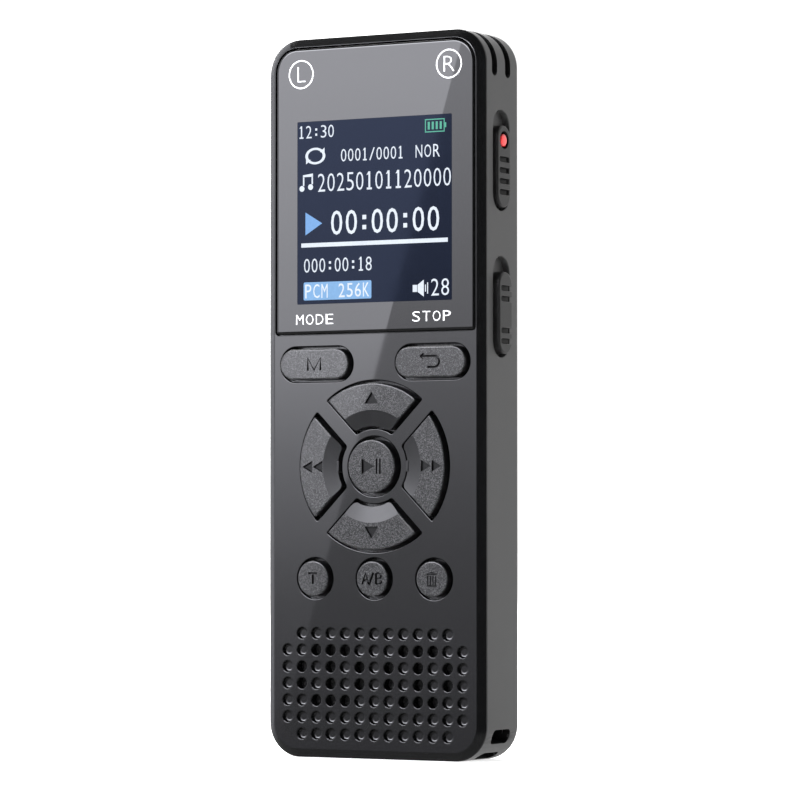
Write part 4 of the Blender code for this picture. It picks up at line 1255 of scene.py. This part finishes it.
play_sign = pointer(((-11.4, 75.1), (-8.6, 76.75), (-11.4, 78.4)), GLASS)
settle(piece("screen_play_sign", play_sign), "case", [glow_blue])
badge = slab(-11.7, -0.4, 65.7, 68.3, GLASS, corner=0.2)
settle(piece("screen_badge", badge), "case", [glow_badge])
badge_text = [
    *spaced("PCM", -11.6, -7.5, 66.0, 68.0, depth=BADGE_TOP),
    *spaced("256K", -6.0, -0.6, 66.0, 68.0, depth=BADGE_TOP),
]
settle(piece("screen_badge_text", gather(badge_text)), "case", [glow_white])

# %% What is printed on the lens
INK = LENS_FACE - 0.002
PRINT = 0.008
prints = [
    lettering("L", -12.75, -11.45, 97.3, 99.5, INK, PRINT, -0.02),
    lettering("R", 11.45, 13.2, 97.5, 99.7, INK, PRINT, -0.02),
    ring((-12.15, 98.4), 2.1, 1.9, INK, PRINT),
    ring((12.3, 98.6), 2.1, 1.9, INK, PRINT),
]
for word, start in (("MODE", -12.95), ("STOP", 6.35)):
    for number, letter in enumerate(word):
        left = start + 1.66 * number
        prints.append(lettering(letter, left, left + 1.24, 62.2, 63.65, INK, PRINT, -0.01))
settle(piece("lens_print", gather(prints)), "case", [print_white])


# %% [markdown]
# ## Keys
#
# A key has a flange behind the cover, so it can't fall out, and a top that stands in its
# hole with a third of a millimetre of play all round. It is grown from the flange to its
# rounded top. The arrow keys then get a smooth slope down towards the middle, cut with a
# shallow cone, and the symbols are sunk a third of a millimetre: some with straight stamps,
# the curved ones with a round pen.

# %% Grow a key
KEY_GAP, KEY_EDGE = 0.35, 0.24
FLANGE_BACK, FLANGE_FRONT, NUB_BACK = 2.1, 1.6, 2.3
TOP, SMOOTH, SUNK = 0, 1, 2
SINK, SINK_RIM, SINK_BEFORE = 0.30, 0.08, 0.5
PEN, PEN_DEPTH = 0.44, 0.14


def grow_key(node, flange, shrink):
    """A key from its flange outline; shrink is how much smaller its top is all round."""
    top = (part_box(node)[0].y - FRONT) / MM
    grow(flange, [
        (0, FLANGE_BACK - FLANGE_FRONT), (shrink, 0), (0, FLANGE_FRONT - top - KEY_EDGE),
        *round_over(KEY_EDGE, 5),
    ])
    bmesh.ops.recalc_face_normals(flange, faces=flange.faces)
    for face in flange.faces:
        face.material_index = TOP if -face.normal.y > 0.5 else SMOOTH
    key = piece(f"{node}_cap", flange)
    for _ in range(3):
        key.data.materials.append(None)
    x, _, z = middle_of(node)
    nub = prism(disc((x, FLANGE_BACK - 0.1, z), 1.0, 24), NUB_BACK - FLANGE_BACK + 0.1)
    combine(key, nub, "UNION", mark=SMOOTH)
    return key, top


def stamp(points, top):
    """A tool that sinks the outline through (x, z) points into a key, with a soft rim."""
    return hole_tool(flat(points, top - SINK_BEFORE), SINK_RIM, SINK, SINK_BEFORE, steps=2)


def box_points(left, right, low, high):
    return (left, low), (right, low), (right, high), (left, high)


def sink(key, parts, solver="MANIFOLD"):
    """Cuts symbols into a key; their floors are marked as sunk."""
    for part in parts:
        combine(key, part, solver=solver, mark=SUNK)


def split_wide_faces(obj):
    """Splits the faces of many sides, so that a cut leaves no badly shaped ones."""
    bm = bmesh.new()
    bm.from_mesh(obj.data)
    bmesh.ops.triangulate(bm, faces=[face for face in bm.faces if len(face.verts) > 4])
    bm.to_mesh(obj.data)
    bm.free()


def pen(points, width, depth):
    """A tool as a round pen draws it, along (x, z) points."""
    curve = bpy.data.curves.new("pen", "CURVE")
    curve.dimensions = "3D"
    curve.bevel_depth = width / 2 * MM
    curve.bevel_resolution = 3
    curve.use_fill_caps = True
    spline = curve.splines.new("POLY")
    spline.points.add(len(points) - 1)
    for point, (x, z) in zip(spline.points, points):
        point.co = (*at(x, depth, z), 1)
    return meshed(curve, WELD * MM)


def engrave(key, lines, x, z, top):
    """Works grooves into a key with a round pen, along lines given from its middle."""
    placed = [[(x + across, z + up) for across, up in line] for line in lines]
    sink(key, [pen(line, PEN, top + PEN_DEPTH) for line in placed], "EXACT")
    print(key.name, len(key.data.polygons), "faces after", len(lines), "grooves")


def arrow(x, z, width, height, turn):
    """A pointer about (x, z) that points right, or the way that turn gives."""
    half, tall = width / 2, height / 2
    angle = math.radians(turn)
    shape = ((-half, -tall), (half, 0), (-half, tall))
    return [
        (x + a * math.cos(angle) - b * math.sin(angle), z + a * math.sin(angle) + b * math.cos(angle))
        for a, b in shape
    ]


def finish_key(key, node):
    """Settles a key: its top is blasted, with painted glints in its grain, its slopes are smooth, its symbols
    are dark.
    """
    settle(key, node, [key_grit_painted_glints, key_slope, engraving], [node], 30)


# %% The two bar keys
BOW = 0.78
bend = [math.radians(90 - 22.5 * step) for step in range(9)]
return_loop = [
    (-1.45, BOW), (0.75, BOW), *[(0.75 + BOW * math.cos(a), BOW * math.sin(a)) for a in bend],
    (-0.4, -BOW),
]
BAR_SIGNS = {
    "key_mode": [[(-1.05, -0.9), (-1.05, 0.9), (0, -0.85), (1.05, 0.9), (1.05, -0.9)]],
    "key_back": [return_loop, [(-1.0, BOW + 0.36), (-1.55, BOW), (-1.1, BOW - 0.36)]],
}
for node in BAR_SIGNS:
    x, _, z = middle_of(node)
    wide, tall = (size + 2 * KEY_GAP for size in BAR_HOLE)
    key, top = grow_key(node, bar((x, FLANGE_BACK, z), wide, tall, arc=18), 2 * KEY_GAP)
    engrave(key, BAR_SIGNS[node], x, z, top)
    finish_key(key, node)

# %% The four arrow keys
SLOPE_START, SLOPE_RATE = 8.05, 0.16
for name, turn in TURN_OF.items():
    node = f"key_{name}"
    beyond = 0.22
    corner = beyond + KEY_GAP + KEY_EDGE + 0.15
    outer, inner = PAD_OUTER + beyond, PAD_INNER - beyond
    flange = pad_quarter(turn, outer, inner, PAD_STRAP - 2 * beyond, FLANGE_BACK, corner)
    key, top = grow_key(node, flange, beyond + KEY_GAP)
    x, z = PAD_CENTRE
    cone = bmesh.new()
    above, under = 0.3, 0.5
    bmesh.ops.create_cone(
        cone, cap_ends=True, segments=160, radius1=(SLOPE_START + above / SLOPE_RATE) * MM,
        radius2=(SLOPE_START - under / SLOPE_RATE) * MM, depth=(above + under) * MM,
    )
    lay = Matrix.Translation(at(x, top + (under - above) / 2, z)) @ Matrix.Rotation(math.radians(-90), 4, "X")
    bmesh.ops.transform(cone, matrix=lay, verts=cone.verts)
    combine(key, cone, mark=SMOOTH)
    if name in ("left", "right"):
        side = math.copysign(1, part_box(node)[0].x)
        near, far = sorted((side * (PAD_INNER + 0.12), side * (PAD_INNER + 0.5)))
        lug = block((near, top + 0.26, z - 0.8), (far, 1.0, z + 0.8))
        bmesh.ops.bevel(
            lug, geom=lug.edges, offset=0.08 * MM, segments=3, profile=0.5, affect="EDGES", material=-1
        )
        combine(key, lug, "UNION", mark=SMOOTH)
    reach = 9.45 if name == "down" else 9.8
    angle = math.radians(turn)
    sign_x, sign_z = x + reach * math.cos(angle), z + reach * math.sin(angle)
    if name in ("up", "down"):
        shapes = [arrow(sign_x, sign_z, 1.75, 2.4, turn)]
    else:
        shapes = [arrow(sign_x + step, sign_z, 1.7, 1.8, turn) for step in (-0.87, 0.87)]
    split_wide_faces(key)
    sink(key, [stamp(shape, top) for shape in shapes])
    finish_key(key, node)

# %% The round keys
def bowl(middle, wide, half):
    """One round of the letter B, from its stem out and back."""
    turns = [math.radians(90 - 30 * step) for step in range(7)]
    return [(0.72, middle + half), *[(1.1 + wide * math.cos(a), middle + half * math.sin(a)) for a in turns],
            (0.72, middle - half)]


LETTERS = {
    "t": [[(-0.75, 0.72), (0.75, 0.72)], [(0, 0.64), (0, -0.8)]],
    "ab": [
        [(-1.58, -0.78), (-1.05, 0.78), (-0.52, -0.78)], [(-1.33, -0.25), (-0.77, -0.25)],
        [(-0.42, -0.85), (0.25, 0.85)], [(0.7, 0.8), (0.7, -0.8)],
        bowl(0.38, 0.42, 0.38), bowl(-0.4, 0.48, 0.38),
    ],
}
for name, hole in ROUND_KEYS.items():
    gap, beyond = (0.45, 0.4) if name == "play" else (0.4, 0.34)
    node = f"key_{name}"
    x, _, z = middle_of(node)
    key, top = grow_key(node, disc((x, FLANGE_BACK, z), hole + beyond, 64), gap + beyond)
    if name == "play":
        bars = [box_points(x + left, x + left + 0.3, z - 1.15, z + 1.15) for left in (0.75, 1.3)]
        sink(key, [stamp(points, top) for points in (arrow(x - 0.53, z, 2.15, 2.35, 0), *bars)])
    elif name == "delete":
        walls = [
            box_points(x + mid - 0.11, x + mid + 0.11, z - 0.98, z + 0.5)
            for mid in (-0.64, -0.22, 0.22, 0.64)
        ]
        lid = box_points(x - 0.86, x + 0.86, z + 0.58, z + 0.8)
        foot = box_points(x - 0.7, x + 0.7, z - 1.08, z - 0.86)
        handle = box_points(x - 0.27, x + 0.27, z + 0.84, z + 1.04)
        sink(key, [stamp(points, top) for points in (*walls, lid, foot, handle)])
    else:
        engrave(key, LETTERS[name], x, z, top)
    finish_key(key, node)


# %% [markdown]
# ## Sliders
#
# Each slider is a bar with round ends that lies low in its pocket at rest. A thumb drags it
# by notches cut across its face: four on the record slider, two pairs on the hold slider.
# Each notch has a rounded mouth and a floor with dark painted shade. A forked stem reaches
# through the shell to the lever of the switch behind it. The record slider also carries a
# domed red mark in a ring groove whose faces have dark painted shade.

# %% Make a slider
STEM_INNER, LEVER_HALF, LEVER_HALF_DEPTH, LEVER_TIP, FORK_GAP = 14.2, 0.6, 0.45, 15.5, 0.22
KNOB_WIDTH, KNOB_EDGE, KNOB_UNDER, KNOB_CLEAR = 3.9, 0.32, POCKET_FLOOR + 0.2, 0.5
NOTCHES = {"record": (2.2, 3.75, 5.3, 6.85), "hold": (1.85, 3.35, 7.85, 9.35)}


def make_slider(name):
    """Returns the knob and the height of its face."""
    low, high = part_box(f"{name}_slider")
    face, foot = high.x / MM, low.z / MM
    rest = foot + KNOB_LENGTH / 2
    bm = bar((KNOB_UNDER, SLIDER_DEPTH, rest), KNOB_WIDTH, KNOB_LENGTH, "side", 16)
    grow(bm, [(0, face - KNOB_UNDER - KNOB_EDGE), *round_over(KNOB_EDGE, 5)], "right")
    knob = piece(f"{name}_knob", bm)
    stem_low = (STEM_INNER, SLIDER_DEPTH - STEM_HALF_DEPTH, rest - STEM_HALF)
    stem_high = (KNOB_UNDER + 0.3, SLIDER_DEPTH + STEM_HALF_DEPTH, rest + STEM_HALF)
    combine(knob, block(stem_low, stem_high), "UNION")
    fork_half, fork_depth = LEVER_HALF + FORK_GAP, LEVER_HALF_DEPTH + FORK_GAP
    fork_low = (STEM_INNER - 1, SLIDER_DEPTH - fork_depth, rest - fork_half)
    fork_high = (LEVER_TIP + FORK_GAP, SLIDER_DEPTH + fork_depth, rest + fork_half)
    combine(knob, block(fork_low, fork_high))
    notch, length, rim = 0.74, 4.3, 0.15
    for height in NOTCHES[name]:
        centre = (face + KNOB_CLEAR, SLIDER_DEPTH - 1.35 + length / 2, foot + height)
        mouth = bar(centre, length + 2 * rim, notch + 2 * rim, "side", 10)
        combine(knob, hole_tool(mouth, rim, rim + 0.1, KNOB_CLEAR, "left", 4))
        # The notch floor takes the dark painted shade.
        combine(knob, prism(bar(centre, length, notch, "side", 10), KNOB_CLEAR + 0.75, "left"), mark=1)
    return knob, face


record_knob, face = make_slider("record")
_, mark_depth, mark_z = middle_of("record_mark")
ring_groove = disc((face + KNOB_CLEAR, mark_depth, mark_z), 1.3, 40, "side")
# The ring groove round the red mark takes the dark painted shade.
combine(record_knob, hole_tool(ring_groove, 0.07, 0.85, KNOB_CLEAR, "left", 3), mark=1)
hold_knob, _ = make_slider("hold")
# The second finish is the dark painted shade in the notches and the groove.
for name, knob in (("record", record_knob), ("hold", hold_knob)):
    settle(knob, f"{name}_slide_body", [knob_plastic, painted_recess_shade], [f"{name}_slider"])

mark_low, mark_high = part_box("record_mark")
bm = disc((mark_low.x / MM, mark_depth, mark_z), 0.88, 40, "side")
thick = (mark_high.x - mark_low.x) / MM
grow(bm, [(0, thick * 0.45), *round_over(thick * 0.55, 5, 0.5)], "right")
settle(piece("red_record_mark", bm), "record_slide_body", [red_paint], ["record_mark"])


# %% [markdown]
# ## Sockets and screws
#
# The top end holds a headphone jack and a USB socket, and four small screws close the case
# from the back. A socket is its shell, hollowed by a smaller outline, with a tongue inside;
# a screw is grown from its shank out to its head, and a cross is cut into the head.

# %% Jack and USB socket
jack_low, jack_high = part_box("headphone_jack")
body_low = [jack_low.x / MM, (jack_low.y - FRONT) / MM, jack_low.z / MM]
body_high = [jack_high.x / MM, (jack_high.y - FRONT) / MM, 102.1]
jack = piece("jack_body", block(body_low, body_high))
nose = disc((*JACK, 101.0), 2.8, 48, "top")
grow(nose, [(0, jack_high.z / MM - 101.0 - 0.2), *round_over(0.2, 3)], "up")
combine(jack, nose, "UNION", mark=1)
combine(jack, hole_tool(disc((*JACK, 104.0), 1.8 + 0.25, 48, "top"), 0.25, 11.4, 0.6, "down"), mark=1)
settle(jack, "case", [housing, rubber], ["headphone_jack"])

usb_low, usb_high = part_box("usb_socket")
foot, mouth, sheet = usb_low.z / MM, usb_high.z / MM, 0.3
socket = piece("usb_shell", prism(bar((*USB, foot), *USB_SIZE, "top", 14), mouth - foot, "up"))
inner = [size - 2 * sheet for size in USB_SIZE]
combine(socket, prism(bar((*USB, foot + 1.2), *inner, "top", 14), 10.0, "up"))
tongue = block((USB[0] - 3.3, USB[1] - 0.35, foot + 0.6), (USB[0] + 3.3, USB[1] + 0.35, mouth - 0.8))
combine(socket, tongue, "UNION", mark=1)
settle(socket, "case", [can_metal, chip_resin], ["usb_socket"])

# %% Case screws
HEAD, SHANK = 1.5, 0.7
CROSS = ((0.85, 0.17, 0.5), (0.17, 0.85, 0.52))
for number in range(1, 5):
    node = f"case_screw_{number}"
    low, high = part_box(node)
    x, _, z = middle_of(node)
    tip, crown = (low.y - FRONT) / MM, (high.y - FRONT) / MM
    bm = disc((x, crown - 1.0, z), HEAD, 40)
    grow(bm, [(0, 0.75), *round_over(0.25, 4)], "back")
    screw = piece(f"cross_screw_{number}", bm)
    combine(screw, prism(disc((x, tip, z), SHANK, 24), crown - 0.9 - tip), "UNION")
    for wide, tall, deep in CROSS:
        combine(screw, block((x - wide, crown - deep, z - tall), (x + wide, crown + 1, z + tall)))
    settle(screw, "case", [screw_steel], [node])


# %% [markdown]
# ## The pieces that stay as they are
#
# The board, the battery, the speaker and the other inner pieces already have their right
# shape, so they only take a finish.

# %% Dress the inner pieces
dressing = {
    "main_board": board_mask, "display_backlight": light_guide, "display_flex": flex_film,
    "record_switch": housing, "hold_switch": housing, "record_lever": lever_nylon, "hold_lever": lever_nylon,
    "speaker_frame": steel, "speaker_cone": cone_film, "speaker_gasket": foam, "grille_cloth": cloth_weave,
    "speaker_lead_red": red_wire, "battery_lead_red": red_wire,
    "speaker_lead_black": black_wire, "battery_lead_black": black_wire,
    "microphone_left": can_metal, "microphone_right": can_metal,
    "mic_boot_left": rubber, "mic_boot_right": rubber,
    "battery": battery_foil, "battery_pad": foam, "processor_chip": chip_resin, "memory_chip": chip_resin,
    "clock_crystal": can_metal,
}
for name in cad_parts:
    if name.startswith("dome_"):
        dressing[name] = steel
for name, material in dressing.items():
    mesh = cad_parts[name].data
    mesh.materials.clear()
    mesh.materials.append(material)
print(len(dressing), "inner pieces dressed")
